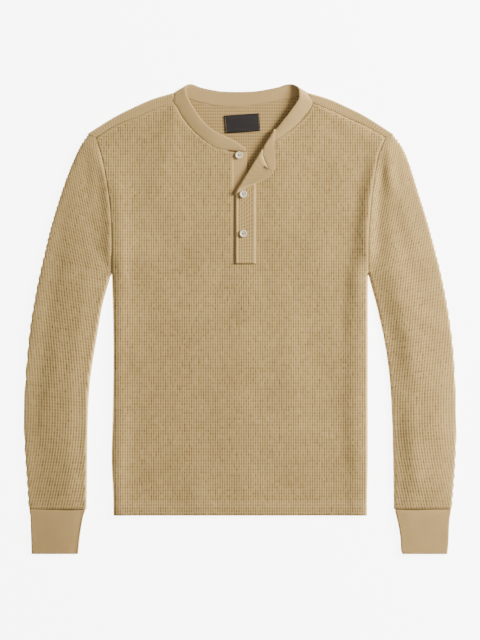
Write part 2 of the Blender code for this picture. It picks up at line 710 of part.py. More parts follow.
def neckband():
    sections = [band_section(s, BAND_BULGE) for s in BAND_FRONT_LEFT]
    sections += [band_section(s, 0.0) for s in BAND_TURN_LEFT]
    sections += [band_section(s, 0.0) for s in BAND_BACK]
    sections += [band_section(s, 0.0) for s in BAND_TURN_RIGHT]
    sections += [band_section(s, BAND_BULGE) for s in BAND_FRONT_RIGHT]
    for s in turned_rows():
        seam = corner_line(CORNER_SEAM, s, GAP)
        edge = corner_line(CORNER_EDGE, s, 0.0)
        flat = [(mix(seam[0], edge[0], t), mix(seam[1], edge[1], t)) for t in BAND_SHARES]
        sections.append([turned(x, y, TURNED_LIFT) for x, y in flat])
    points = {(r, c): p for r, section in enumerate(sections) for c, p in enumerate(section)}
    cells = [cell[::-1] for cell in grid_cells(len(sections), len(BAND_SHARES))]
    wall("neckband", points, cells, RIB, rib_material())


PLACKET_SHARES = [0.0, 0.12, 0.37, 0.62, 0.87, 1.0]


def upper_placket():
    """The buttonhole side: a strip on the front, and its top corner turned back."""
    rows = []
    for row in PLACKET_ROWS:
        left, right = (PLACKET_LEFT, row.left_y), (row.right_x, row.right_y)
        rows.append([(mix(left[0], right[0], t), mix(left[1], right[1], t)) for t in PLACKET_SHARES])
    for s in turned_rows():
        left_y = FOLD_FOOT[1] + (s - (PLACKET_LEFT - FOLD_FOOT[0]) * FOLD_OUT[0]) / FOLD_OUT[1]
        left = (PLACKET_LEFT, left_y)
        right = corner_line(CORNER_SEAM, s, 0.0)
        rows.append([(mix(left[0], right[0], t), mix(left[1], right[1], t)) for t in PLACKET_SHARES])
    points = {(r, c): turned(*p, TURNED_LIFT) for r, row in enumerate(rows) for c, p in enumerate(row)}
    wall("placket_upper", points, grid_cells(len(rows), len(PLACKET_SHARES)), KNIT, waffle_material())


def under_placket():
    ys = np.linspace(SLOT_Y + GAP, UNDER_TOP, UNDER_ROWS)
    half = SLOT_HALF - GAP
    xs = (-half, 0.0, half)
    points = {}
    for r, y in enumerate(ys):
        for c, x in enumerate(xs):
            height = front_height(x, y)
            if y > fold_line_y(SLOT_HALF):
                rise = BAND_FRONT_LEFT[2].seam_z - front_height(x, UNDER_TOP)
                share = (y - fold_line_y(SLOT_HALF)) / (UNDER_TOP - fold_line_y(SLOT_HALF))
                height += rise * share**2
            points[r, c] = (x, y, height)
    wall("placket_under", points, grid_cells(len(ys), len(xs)), FACING, rib_material())


# ---- buttons and label --------------------------------------------------------------------------
ButtonRing = namedtuple("ButtonRing", "radius height")
BUTTON_PROFILE = [
    ButtonRing(0.0, 0.0),
    ButtonRing(0.78, 0.0),
    ButtonRing(0.96, 0.25),
    ButtonRing(1.0, 0.55),
    ButtonRing(0.95, 0.88),
    ButtonRing(0.84, 1.0),
    ButtonRing(0.70, 0.86),
    ButtonRing(0.55, 0.66),
    ButtonRing(0.0, 0.60),
]
BUTTON_SIDES = 20
BUTTON_HOLE_SIDES = 8
CUTTER_OVERHANG = 1.0


def turned_disc(name, rings, centre, sides):
    """A turned solid: its first and last rings are points on the axis."""
    cx, cy, cz = centre
    points = [(cx, cy, cz + rings[0][1])]
    for radius, height in rings[1:-1]:
        for k in range(sides):
            turn = 2 * math.pi * k / sides
            points.append((cx + radius * math.cos(turn), cy + radius * math.sin(turn), cz + height))
    points.append((cx, cy, cz + rings[-1][1]))
    top = len(points) - 1
    faces = []
    for k in range(sides):
        after = (k + 1) % sides
        faces.append((0, 1 + after, 1 + k))
        for n in range(len(rings) - 3):
            low, high = 1 + n * sides, 1 + (n + 1) * sides
            faces.append((low + k, low + after, high + after, high + k))
        last = 1 + (len(rings) - 3) * sides
        faces.append((last + k, last + after, top))
    return add_object(name, points, faces, button_material())


def button(number, x, y, under_z):
    rings = [(r.radius * BUTTON_RADIUS, r.height * BUTTON_THICK) for r in BUTTON_PROFILE]
    base = under_z + BUTTON_STANDOFF
    disc = turned_disc(f"button_{number}", rings, (x, y, base), BUTTON_SIDES)
    for k in range(4):
        turn = math.pi / 4 + k * math.pi / 2
        hx = x + BUTTON_HOLE_PITCH * math.cos(turn)
        hy = y + BUTTON_HOLE_PITCH * math.sin(turn)
        radius = BUTTON_HOLE_RADIUS
        low, high = -CUTTER_OVERHANG, BUTTON_THICK + CUTTER_OVERHANG
        rings = [(0.0, low), (radius, low), (radius, high), (0.0, high)]
        cutter = turned_disc(f"hole_{number}_{k + 1}", rings, (hx, hy, base), BUTTON_HOLE_SIDES)
        cutter.hide_render = True
        cutter.display_type = "WIRE"
        cut = disc.modifiers.new("hole", "BOOLEAN")
        cut.operation = "DIFFERENCE"
        cut.solver = "EXACT"
        cut.object = cutter


def buttons():
    for number, (x, y) in enumerate(BUTTONS, 1):
        if number == 1:
            middle, half = BAND_FRONT_LEFT[2].seam_z, FACING / 2
        else:
            middle, half = front_height(x, y) + TURNED_LIFT, KNIT / 2
        button(number, x, y, middle + half)


def label():
    """The woven label inside the back of the neck, sewn at its ends and left bare."""
    points = {}
    for r, v in enumerate((-0.5, 0.0, 0.5)):
        for c, u in enumerate(LABEL_ACROSS):
            x, y = u * LABEL_SIZE[0], v * LABEL_SIZE[1]
            px = LABEL_CENTRE[0] + x * math.cos(LABEL_TURN) - y * math.sin(LABEL_TURN)
            py = LABEL_CENTRE[1] + x * math.sin(LABEL_TURN) + y * math.cos(LABEL_TURN)
            bow = LABEL_BOW * math.sqrt(math.cos(math.pi * u)) if abs(u) < 0.5 else 0.0
            points[r, c] = (px, py, KNIT + GAP + LABEL_CLOTH / 2 + bow)
    wall("label", points, grid_cells(3, len(LABEL_ACROSS)), LABEL_CLOTH, label_material())


def clear_scene():
    for found in list(bpy.data.objects):
        bpy.data.objects.remove(found, do_unlink=True)


def build():
    clear_scene()
    front_panel()
    back_panel()
    for side in ("left", "right"):
        sleeve(side)
        cuff(side)
    neckband()
    upper_placket()
    under_placket()
    buttons()
    label()


build()
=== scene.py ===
import math
from collections import namedtuple

import bpy
import numpy as np
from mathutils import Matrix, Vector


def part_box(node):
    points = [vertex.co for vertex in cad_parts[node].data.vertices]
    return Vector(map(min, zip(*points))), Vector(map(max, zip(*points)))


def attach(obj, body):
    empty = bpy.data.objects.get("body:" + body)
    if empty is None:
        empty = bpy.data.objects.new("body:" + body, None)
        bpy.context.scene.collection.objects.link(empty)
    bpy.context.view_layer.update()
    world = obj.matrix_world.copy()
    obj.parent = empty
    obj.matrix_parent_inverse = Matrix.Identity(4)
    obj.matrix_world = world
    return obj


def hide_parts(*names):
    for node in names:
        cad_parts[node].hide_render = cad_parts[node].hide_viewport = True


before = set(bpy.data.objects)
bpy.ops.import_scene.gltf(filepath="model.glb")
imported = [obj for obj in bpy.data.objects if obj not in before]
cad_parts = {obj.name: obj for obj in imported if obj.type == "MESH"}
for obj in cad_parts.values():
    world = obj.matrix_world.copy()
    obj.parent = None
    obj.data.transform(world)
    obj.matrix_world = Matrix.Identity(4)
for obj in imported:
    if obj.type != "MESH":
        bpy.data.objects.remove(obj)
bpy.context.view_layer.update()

MM = 0.001

# ---- cloth -------------------------------------------------------------------------------------
KNIT = 1.8  # waffle knit, thickness of one layer
RIB = 2.2  # folded rib of the neckband and cuffs
FACING = 1.4  # thin facing of the placket's under side
LABEL_CLOTH = 0.9
GAP = 0.4  # between pieces that meet at a seam or lie on each other
HEM_DEPTH = 20.0
HEM_EXTRA = 0.7  # the turned-up layer makes the hem this much thicker
SIDE_ROLL = 3.0  # how far the front rolls in at the side folds
FOLD_RISE = 3.3  # from the lower layer to the upper one, beside a fold

HEM_Y = -332.0
SLOT_Y = 100.0  # foot of the slit in the front
SLOT_HALF = 11.0
ARMPIT_Y = 75.0

SIDES = {"left": -1, "right": 1}  # and the sign of x there

# ---- outlines: one row for each level, from the hem upwards -------------------------------------
Level = namedtuple("Level", "y left right")

BODY_SIDE = [
    Level(-332, -214.0, 214.3),
    Level(-300, -215.0, 214.8),
    Level(-233, -217.5, 216.0),
    Level(-169, -216.0, 216.0),
    Level(-56, -214.5, 216.0),
    Level(75, -217.0, 216.0),
]
ARMHOLE = [
    Level(75, -217.0, 216.0),
    Level(114, -217.0, 216.0),
    Level(153, -217.5, 217.0),
    Level(192, -220.0, 220.0),
    Level(231, -225.5, 225.0),
    Level(277, -235.0, 234.0),
    Level(306, -244.0, 246.0),
]
SLEEVE_OUTER = [
    Level(-321, -358.0, 358.0),
    Level(-275, -361.0, 362.0),
    Level(-225, -364.5, 365.0),
    Level(-170, -366.0, 366.0),
    Level(-105, -364.0, 363.8),
    Level(-55, -360.0, 361.0),
    Level(-10, -355.2, 355.8),
    Level(35, -347.8, 348.6),
    Level(70, -341.0, 341.5),
    Level(100, -334.0, 334.5),
    Level(130, -327.2, 326.6),
    Level(160, -319.6, 318.5),
    Level(190, -310.6, 309.5),
    Level(220, -301.0, 300.0),
    Level(250, -290.0, 291.0),
    Level(280, -277.5, 280.0),
    Level(300, -266.6, 269.0),
    Level(313, -257.0, 258.5),
]
SLEEVE_INNER = [
    Level(-321, -259.0, 259.0),
    Level(-248, -258.2, 258.0),
    Level(-169, -257.0, 256.0),
    Level(-112, -254.0, 253.0),
    Level(-67, -248.0, 248.0),
    Level(-26, -241.0, 241.0),
    Level(25, -232.0, 229.5),
    Level(69, -219.5, 217.5),
]

# Shoulder: where the front's edge is sewn, and the fold that makes the outline above it.
Shoulder = namedtuple("Shoulder", "left_x left_y right_x right_y")
SHOULDER_SEAM = [
    Shoulder(-244.0, 306.0, 246.0, 306.0),
    Shoulder(-212.0, 326.5, 210.0, 326.5),
    Shoulder(-178.0, 340.0, 184.0, 338.0),
    Shoulder(-147.0, 353.0, 153.0, 352.0),
    Shoulder(-112.6, 366.0, 122.1, 365.0),
]
SHOULDER_FOLD = [
    Shoulder(-257.0, 313.5, 258.5, 312.5),
    Shoulder(-212.0, 341.5, 214.0, 341.0),
    Shoulder(-178.0, 358.6, 184.0, 356.5),
    Shoulder(-147.0, 372.0, 149.0, 372.0),
    Shoulder(-113.5, 382.0, 115.5, 382.0),
]

# Neckband: a row for each section, from the end with the top button, round the back of the neck,
# to the fold where the other end turns back. The seam is sewn to the body; the edge is free.
Section = namedtuple("Section", "seam_x seam_y seam_z edge_x edge_y edge_z")
BAND_FRONT_LEFT = [
    Section(8.5, 283.6, 4.6, 9.5, 287.5, 4.8),
    Section(0.0, 283.6, 4.6, 4.0, 292.0, 5.2),
    Section(-11.0, 284.4, 4.6, -6.0, 299.0, 5.8),
    Section(-34.0, 286.5, 4.4, -22.0, 307.0, 6.6),
    Section(-58.0, 299.0, 4.4, -44.0, 318.0, 7.4),
    Section(-77.0, 315.0, 4.4, -59.5, 331.0, 8.0),
    Section(-88.0, 327.0, 4.4, -69.5, 343.0, 8.6),
    Section(-98.5, 341.0, 4.6, -78.5, 356.0, 9.2),
    Section(-106.0, 355.0, 5.0, -85.0, 367.0, 9.8),
    Section(-112.6, 366.0, 5.6, -89.6, 377.0, 10.2),
]
BAND_TURN_LEFT = [
    Section(-112.6, 374.5, 5.1, -91.2, 387.0, 9.6),
    Section(-112.4, 381.3, 2.8, -89.4, 394.6, 6.4),
    Section(-107.5, 380.6, 1.2, -84.0, 396.7, 2.6),
]
BAND_BACK = [
    Section(-97.0, 375.5, 1.1, -78.0, 395.8, 1.3),
    Section(-86.0, 371.0, 1.1, -70.0, 392.5, 1.1),
    Section(-60.0, 363.5, 1.1, -50.0, 387.6, 1.1),
    Section(-31.0, 358.7, 1.1, -28.0, 384.4, 1.1),
    Section(0.0, 358.0, 1.1, 0.0, 383.8, 1.1),
    Section(27.0, 361.5, 1.1, 26.0, 385.0, 1.1),
    Section(54.0, 366.5, 1.1, 48.0, 388.5, 1.1),
    Section(80.0, 371.0, 1.1, 68.0, 393.0, 1.1),
    Section(95.0, 375.5, 1.1, 76.0, 396.0, 1.3),
]
BAND_TURN_RIGHT = [
    Section(108.5, 380.8, 1.2, 84.5, 396.7, 2.8),
    Section(114.0, 381.0, 3.0, 92.8, 394.0, 7.0),
    Section(117.4, 374.2, 5.4, 99.0, 386.0, 10.8),
]
BAND_FRONT_RIGHT = [
    Section(122.1, 365.0, 6.0, 99.5, 375.5, 11.6),
    Section(117.0, 352.5, 5.4, 95.0, 365.0, 11.2),
    Section(107.5, 341.0, 5.0, 86.5, 353.5, 10.4),
    Section(97.0, 329.0, 5.0, 78.0, 342.0, 9.4),
    Section(82.0, 316.0, 5.2, 70.0, 332.0, 8.4),
    Section(64.0, 304.0, 5.6, 65.0, 326.0, 7.4),
]

# The front's top corner and the band's end turn back over this line, through FOLD_FOOT.
FOLD_FOOT = (-1.0, 220.0)
FOLD_ANGLE = math.radians(58.4)
FOLD_RADIUS = 1.9
FOLD_LENGTH = 2.4  # the distance past the fold line that its bend takes up
TURNED_LIFT = 2.5  # the turned corner starts this far above the front's middle surface
# Where band and placket meet in the corner that turns back, as it lies before it is turned.
CORNER_SEAM = [(44.5, 293.4), (38.0, 287.0), (29.0, 281.0), (10.0, 279.8), (-8.0, 279.8)]
CORNER_EDGE = [(61.5, 320.8), (40.0, 308.5), (20.0, 299.0), (-2.2, 289.3)]
TURNED_END = 37.0  # the turned corner reaches this far past the fold line

PLACKET_LEFT = -8.0
# Rows of the upper placket below its fold: heights at its left and right edges.
PlacketRow = namedtuple("PlacketRow", "left_y right_y right_x")
PLACKET_ROWS = [
    PlacketRow(93.5, 93.5, 26.0),
    PlacketRow(110.0, 110.0, 26.0),
    PlacketRow(135.0, 138.0, 26.0),
    PlacketRow(158.0, 172.0, 26.0),
    PlacketRow(180.0, 212.0, 26.0),
    PlacketRow(195.0, 249.0, 26.0),
    PlacketRow(202.0, 288.5, 46.0),
]
UNDER_TOP = 282.8

Cuff = namedtuple("Cuff", "y left_inner left_outer right_inner right_outer")
CUFF = [
    Cuff(-321.8, -260.5, -357.0, 260.5, 357.0),
    Cuff(-332.0, -264.0, -355.2, 263.0, 355.0),
    Cuff(-350.0, -267.5, -354.5, 267.0, 353.3),
    Cuff(-372.0, -270.8, -353.8, 270.2, 352.6),
    Cuff(-390.0, -272.6, -353.2, 271.0, 351.2),
    Cuff(-396.9, -273.2, -353.0, 273.5, 350.4),
]
CUFF_RISE = 3.0  # from the lower layer's middle to the upper one's
CUFF_COLUMNS = 192  # of points round a cuff; every second one is a furrow between ribs
CUFF_ROWS = (-321.2, -332.0, -395.0, -396.2, -397.0)  # its seam, its neck and its rounded end
# How deep the furrows are between the ribs of the cuffs, the neckband and the under placket, and so
# how much painted shade they carry.
CUFF_FURROW, BAND_FURROW, UNDER_FURROW = 0.45, 0.22, 0.2

# ---- relief: soft ridges and troughs, each along a line -----------------------------------------
Fold = namedtuple("Fold", "x0 y0 x1 y1 width height")
FRONT_FOLDS = [
    Fold(-204, -330, -203, 90, 13, 1.7),
    Fold(-200, 90, -206, 215, 13, 1.6),
    Fold(198, -330, 197, 60, 20, 1.9),
    Fold(196, 60, 214, 215, 12, 1.1),
    Fold(178, -300, 172, -10, 9, -0.5),
    Fold(172, -10, 196, 210, 9, -0.6),
    Fold(-150, -260, -128, -40, 17, 0.5),
    Fold(-70, -300, -84, -20, 20, 0.6),
    Fold(4, -290, 10, 40, 22, 0.7),
    Fold(92, -280, 80, 0, 20, 0.5),
    Fold(-160, 120, -120, 330, 26, 0.8),
    Fold(128, 110, 150, 300, 26, 0.9),
    Fold(-60, 60, -60, 250, 22, 0.5),
    Fold(70, 60, 78, 250, 20, 0.6),
    Fold(-235, 296, -150, 350, 12, 0.9),
    Fold(236, 296, 150, 348, 12, 0.9),
]
SLEEVE_FOLDS = [
    Fold(-300, 190, -332, -30, 12, -0.5),
    Fold(-340, -60, -346, -290, 12, -0.6),
    Fold(-262, 280, -246, 120, 8, -0.6),
    Fold(-252, -150, -300, -190, 12, 0.6),
    Fold(-300, -300, -262, -240, 10, 0.5),
    Fold(262, 292, 268, 200, 7, -0.7),
    Fold(252, 240, 290, 150, 9, 0.6),
    Fold(262, 30, 348, -18, 13, 0.8),
    Fold(262, -30, 330, -70, 12, -0.6),
    Fold(268, -130, 300, -260, 12, 0.6),
    Fold(340, -80, 346, -280, 14, 0.5),
]
AIR = 0.8  # the upper layer's rest above the lower one, without ridges
CUFF_CROWN = 0.5
FOLD_FADE = 1.6  # a fold fades out past its ends over this many of its widths
# A fold wavers sideways, and its height wavers: each as a share, and in waves of so many widths.
SIDE_WAVER, HEIGHT_WAVER = (0.16, 2.6), (0.22, 4.1)

BUTTONS = [(-2.2, 276.6), (5.1, 210.4), (5.1, 144.0)]
LABEL_CENTRE, LABEL_SIZE, LABEL_TURN = (3.5, 330.6), (59.0, 30.0), math.radians(4.0)
LABEL_BOW = 0.7  # the label's middle stands up this much between its sewn ends


# ---- finer looks --------------------------------------------------------------------------------
SEAM_SINK, SINK_WIDTH = 0.5, 2.2  # how far cloth sinks at an armhole seam
SEAM = 0.15  # pieces that are sewn together stand this far apart
# The buttonhole in the turned corner: its middle, its length and the way that it runs.
HOLE_CENTRE, HOLE_LENGTH, HOLE_ALONG = (43.5, 254.5), 10.0, (0.83, -0.56)
RIB_PITCH = 4.0  # the waffle's cells on the body are this wide and 5 mm high
SLEEVE_RIB, SLEEVE_ROW = 4.6, 5.5  # width and height of a sleeve's cells
ROW_DIP = 0.55  # between two ribs a row lies this share of a pit's depth below them
PIT_DEPTH = 0.95  # of the waffle's deepest cells
INNER_PIT = 0.5  # of the pits on the inside of the cloth, where that shows; these carry full painted shade
KNIT_UNIT = 0.01  # a millimetre in the Knit coordinates
PIT_SPREAD = 0.25  # cells differ in depth by this share
FACETS = 8  # round a fold

# How the cloth rises to an armhole seam: height, width on the body, and on the sleeve the width of
# the steep part and of the long one, and the steep part's share.
SEAM_RIDGE = {"left": (4.4, 42.0, 11.0, 48.0, 0.6), "right": (5.2, 14.0, 8.0, 30.0, 0.8)}
FINE_FOLDS = [
    Fold(-214, -300, -216, 90, 34, 1.6),
    Fold(202, -230, 206, 170, 30, 2.2),
    Fold(-112, 150, -150, 330, 20, 0.7),
    Fold(150, 130, 176, 250, 22, 0.8),
]
FINE_SLEEVE_FOLDS = [
    Fold(-272, 240, -300, 80, 26, 1.4),
    Fold(246, 205, 300, 60, 13, -1.0),
    Fold(262, -30, 296, -150, 15, -0.9),
    Fold(300, -325, 345, -322, 7, -1.1),
    Fold(-296, 120, -330, -60, 15, -0.8),
    Fold(-300, -40, -335, -180, 13, 0.7),
    Fold(-262, 30, -300, -30, 12, -0.7),
    Fold(-268, -330, -276, -395, 8, -0.9),
]


# ---- curves -------------------------------------------------------------------------------------
def smooth(ts, vs, t):
    """A curve through the points (ts, vs) that never overshoots them, read at the array t."""
    ts, vs, t = np.asarray(ts, float), np.asarray(vs, float), np.asarray(t, float)
    t = np.clip(t, ts[0], ts[-1])
    slopes = np.diff(vs) / np.diff(ts)
    inner = np.where(slopes[1:] * slopes[:-1] > 0, (slopes[1:] + slopes[:-1]) / 2, 0.0)
    limit = 2.5 * np.minimum(abs(slopes[1:]), abs(slopes[:-1]))
    inner = np.sign(inner) * np.minimum(abs(inner), limit)
    tangents = np.concatenate(([slopes[0]], inner, [slopes[-1]]))
    i = np.clip(np.searchsorted(ts, t) - 1, 0, len(ts) - 2)
    h = ts[i + 1] - ts[i]
    u = (t - ts[i]) / h
    return (
        vs[i] * (1 + 2 * u) * (1 - u) ** 2
        + vs[i + 1] * u * u * (3 - 2 * u)
        + tangents[i] * h * u * (1 - u) ** 2
        - tangents[i + 1] * h * u * u * (1 - u)
    )


def level(table, side, y):
    """One side of a table of levels, as a curve read at y."""
    return smooth([row.y for row in table], [getattr(row, side) for row in table], y)


def mix(a, b, t):
    return a + (b - a) * t


def ramp(t, start, end):
    """0 before start, 1 after end, and a soft step between them."""
    u = np.clip((np.asarray(t, float) - start) / (end - start), 0.0, 1.0)
    return u * u * (3 - 2 * u)


def relief(folds, x, y):
    """The height that a table of folds adds at the points (x, y); each fold wavers a little."""
    total = np.zeros_like(np.asarray(x, float))
    for n, f in enumerate(folds):
        dx, dy = f.x1 - f.x0, f.y1 - f.y0
        length = math.hypot(dx, dy)
        along = ((x - f.x0) * dx + (y - f.y0) * dy) / length
        across = ((x - f.x0) * dy - (y - f.y0) * dx) / length
        share, wave = SIDE_WAVER
        across = across + share * f.width * np.sin(along / (wave * f.width) + 2.1 * n)
        past = np.maximum(np.maximum(-along, along - length), 0.0)
        share, wave = HEIGHT_WAVER
        uneven = 1 + share * np.sin(along / (wave * f.width) + 1.3 * n)
        fade = (past / (FOLD_FADE * f.width)) ** 2
        total += f.height * uneven * np.exp(-((across / f.width) ** 2) - fade)
    return total


def rumple(x, y):
    """The slight unevenness of cloth that nobody ironed."""
    return 0.16 * (
        np.sin(x / 19.0 + y / 43.0)
        + np.sin(x / 27.0 - y / 31.0 + 1.7)
        + 0.7 * np.sin(x / 11.0 + y / 67.0 + 0.6)
        + 0.6 * np.sin(y / 17.0 - x / 83.0)
    )


def front_height(x, y):
    """The middle surface of the front, above the back panel."""
    ridges = relief(FRONT_FOLDS, x, y) + relief(FINE_FOLDS, x, y) + rumple(x, y)
    return 1.5 * KNIT + GAP + AIR + np.maximum(ridges, -AIR + 0.05)


def path_lengths(points):
    """How far along a path each of its points is."""
    steps = np.linalg.norm(np.diff(points, axis=0), axis=1)
    return np.concatenate(([0.0], np.cumsum(steps)))


def along_lines(points, count):
    """count points evenly spread on a line through points, softened at its corners."""
    points = np.asarray(points, float)
    lengths = path_lengths(points)
    at = np.linspace(0.0, lengths[-1], count)
    return np.stack([smooth(lengths, column, at) for column in points.T], axis=1)


# ---- meshes -------------------------------------------------------------------------------------
class Lattice:
    """A piece of waffle knit in its own flat (u, v), cut from regular cells row by row."""

    def __init__(self, pitch):
        self.pitch = pitch
        self.points = []
        self.cells = []
        self.plain = []
        self.welds = []

    def row(self, v, left, right, also=()):
        """The points of one row from its left end to its right end, as (column, number)."""
        if right - left < 0.2 * self.pitch:
            return [(None, self.add((left + right) / 2, v))]
        first = math.ceil(left / self.pitch + 0.45)
        last = math.floor(right / self.pitch - 0.45)
        marks = [(left, None)] + [(c * self.pitch, c) for c in range(first, last + 1)]
        marks.append((right, None))
        for u in also:
            marks = [m for m in marks if m[1] is None or abs(m[0] - u) > 0.45 * self.pitch]
            marks.append((u, None))
        return [(column, self.add(u, v)) for u, column in sorted(marks, key=lambda m: m[0])]

    def add(self, u, v):
        self.points.append((u, v))
        return len(self.points) - 1

    def stitch(self, low, high):
        """Fills the band between two rows: whole cells get a pit, the rest is plain."""
        at_low = {c: n for n, (c, _) in enumerate(low) if c is not None}
        at_high = {c: n for n, (c, _) in enumerate(high) if c is not None}
        shared = sorted(at_low.keys() & at_high.keys())
        if not shared:
            self.zipper(low, high)
            return
        self.zipper(low[: at_low[shared[0]] + 1], high[: at_high[shared[0]] + 1])
        for a, b in zip(shared, shared[1:]):
            part_low = low[at_low[a] : at_low[b] + 1]
            part_high = high[at_high[a] : at_high[b] + 1]
            if len(part_low) == 2 and len(part_high) == 2:
                corners = (part_low[0], part_low[1], part_high[1], part_high[0])
                self.cells.append([number for _, number in corners])
            else:
                self.zipper(part_low, part_high)
        self.zipper(low[at_low[shared[-1]] :], high[at_high[shared[-1]] :])

    def zipper(self, low, high):
        a, b = 0, 0
        while a < len(low) - 1 or b < len(high) - 1:
            take_low = b == len(high) - 1
            if not take_low and a < len(low) - 1:
                take_low = self.points[low[a + 1][1]][0] <= self.points[high[b + 1][1]][0]
            if take_low:
                self.plain.append([low[a][1], low[a + 1][1], high[b][1]])
                a += 1
            else:
                self.plain.append([low[a][1], high[b + 1][1], high[b][1]])
                b += 1

    def rows(self, rows):
        for low, high in zip(rows, rows[1:]):
            self.stitch(low, high)


# pits: each point's painted shade, from 0 to 1, by how deep it is sunk.
Part = namedtuple("Part", "points faces pits uv")


def add_piece(name, parts, look):
    """An object from parts in millimetres."""
    offsets = np.cumsum([0] + [len(part.points) for part in parts])
    points = np.concatenate([part.points for part in parts])
    faces = [tuple(n + int(o) for n in f) for part, o in zip(parts, offsets) for f in part.faces]
    shade = np.concatenate([part.pits for part in parts])
    flat_uv = np.concatenate([part.uv for part in parts])
    mesh = bpy.data.meshes.new(name)
    mesh.from_pydata((np.asarray(points) * MM).tolist(), [], faces)
    corner = np.empty(len(mesh.loops), dtype=np.int32)
    mesh.loops.foreach_get("vertex_index", corner)
    layer = mesh.uv_layers.new(name="Knit")
    layer.data.foreach_set("uv", np.asarray(flat_uv, np.float32)[corner].ravel())
    # The pit attribute carries the painted shade of pits and furrows into the materials.
    values = mesh.attributes.new("pit", "FLOAT", "POINT")
    values.data.foreach_set("value", np.asarray(shade, np.float32))
    mesh.shade_smooth()
    mesh.materials.append(look)
    made = bpy.data.objects.new(name, mesh)
    bpy.context.scene.collection.objects.link(made)
    return made


def normals_of(points, faces):
    sums = np.zeros_like(points)
    for count in (3, 4):
        group = np.array([f for f in faces if len(f) == count])
        if not len(group):
            continue
        p = points[group]
        normal = np.cross(p[:, 1] - p[:, 0], p[:, 2] - p[:, 0])
        if count == 4:
            normal = np.cross(p[:, 2] - p[:, 0], p[:, 3] - p[:, 1])
        for k in range(count):
            np.add.at(sums, group[:, k], normal)
    return sums / np.maximum(np.linalg.norm(sums, axis=1), 1e-9)[:, None]


def shell(
    middle, cells, plain, thickness, uv,
    pits=None, raised=None, edge_pits=None, lined=None, tone=0.0,
):
    """A closed wall round a middle surface, as a Part.

    cells are quads and plain are other faces, wound so that their normal points out of the
    garment. pits gives each cell a depth, and raised lifts single points of the outer face; each
    sunk point carries painted shade by its depth in the pit attribute. edge_pits gives each plain
    triangle a depth. lined tells of a place whether its inside shows too, and gives it pits with
    full painted shade there; tone is painted shade on the inside.
    """
    count = len(middle)
    normal = normals_of(middle, cells + plain)
    half = np.broadcast_to(np.asarray(thickness, float) / 2, (count,))[:, None]
    outer, inner = middle + normal * half, middle - normal * half
    if raised is not None:
        outer = outer + normal * raised[:, None]
    # Points pushed in carry painted shade by their depth.
    sunk = np.zeros(count) if raised is None else np.clip(-raised / PIT_DEPTH, 0.0, 1.0)
    points, shade = [outer, inner], [sunk, np.zeros(count) + tone]
    coordinates = [uv, uv]
    if pits is None:
        faces = [tuple(f) for f in cells + plain]
    else:
        quads = np.array(cells)
        centres = outer[quads].mean(axis=1) - normal[quads].mean(axis=1) * pits[:, None]
        rows = np.sort(np.concatenate((quads[:, :2], quads[:, 2:])), axis=1)
        row_pits = np.concatenate((pits, pits))
        edges, which, times = np.unique(rows, axis=0, return_inverse=True, return_counts=True)
        dip = ROW_DIP * np.bincount(which.ravel(), weights=row_pits) / times
        edges, dip = edges[times == 2], dip[times == 2]
        dips = outer[edges].mean(axis=1) - normal[edges].mean(axis=1) * dip[:, None]
        first_dip = 2 * count + len(quads)
        points += [centres, dips]
        shade += [pits / PIT_DEPTH, dip / PIT_DEPTH]
        coordinates += [uv[quads].mean(axis=1), uv[edges].mean(axis=1)]
        number = {tuple(edge): first_dip + n for n, edge in enumerate(edges.tolist())}
        faces = []
        for n, (a, b, c, d) in enumerate(quads.tolist()):
            pit = 2 * count + n
            faces += [(b, c, pit), (d, a, pit)]
            for one, other in ((a, b), (c, d)):
                edge = (min(one, other), max(one, other))
                if edge in number:
                    faces += [(one, number[edge], pit), (number[edge], other, pit)]
                else:
                    faces.append((one, other, pit))
        deep = np.flatnonzero(edge_pits > 0.05)
        corners = np.array(plain)[deep]
        first = 2 * count + len(quads) + len(edges)
        down = normal[corners].mean(axis=1) * edge_pits[deep, None]
        points.append(outer[corners].mean(axis=1) - down)
        shade.append(edge_pits[deep] / PIT_DEPTH)
        coordinates.append(uv[corners].mean(axis=1))
        at = {int(n): first + k for k, n in enumerate(deep)}
        for n, (a, b, c) in enumerate(plain):
            if n in at:
                faces += [(a, b, at[n]), (b, c, at[n]), (c, a, at[n])]
            else:
                faces.append((a, b, c))
    within = cells + plain
    if lined is not None:
        inside = [bool(lined(*uv[list(f)].mean(axis=0))) for f in within]
        shown = [f for f, is_shown in zip(within, inside) if is_shown]
        within = [f for f, is_shown in zip(within, inside) if not is_shown]
        first = sum(len(p) for p in points)
        into = [inner[list(f)].mean(axis=0) + normal[f[0]] * INNER_PIT for f in shown]
        points.append(np.array(into))
        shade.append(np.full(len(shown), 1.0))
        coordinates.append(np.array([uv[list(f)].mean(axis=0) for f in shown]))
        for k, f in enumerate(shown):
            faces += [(f[n] + count, f[n - 1] + count, first + k) for n in range(len(f))]
    faces += [tuple(n + count for n in f[::-1]) for f in within]
    directed = {(f[k], f[(k + 1) % len(f)]) for f in cells + plain for k in range(len(f))}
    for a, b in sorted(directed):
        if (b, a) not in directed:
            faces.append((b, a, a + count, b + count))
    flat_uv = np.concatenate(coordinates) * KNIT_UNIT
    return Part(np.concatenate(points), faces, np.concatenate(shade), flat_uv)


def welded(lattice, flip):
    """The lattice's faces once the points that are one are one, and without unused points."""
    same = np.arange(len(lattice.points))
    for kept, gone in lattice.welds:
        same[gone] = kept
    turn = -1 if flip else 1
    cells = [[int(same[n]) for n in f[::turn]] for f in lattice.cells]
    plain = [[int(same[n]) for n in f[::turn]] for f in lattice.plain]
    plain = [f for f in plain if len(set(f)) == 3]
    used = sorted({n for f in cells + plain for n in f})
    new = {old: n for n, old in enumerate(used)}
    cells = [[new[n] for n in f] for f in cells]
    plain = [[new[n] for n in f] for f in plain]
    return np.array(used), cells, plain


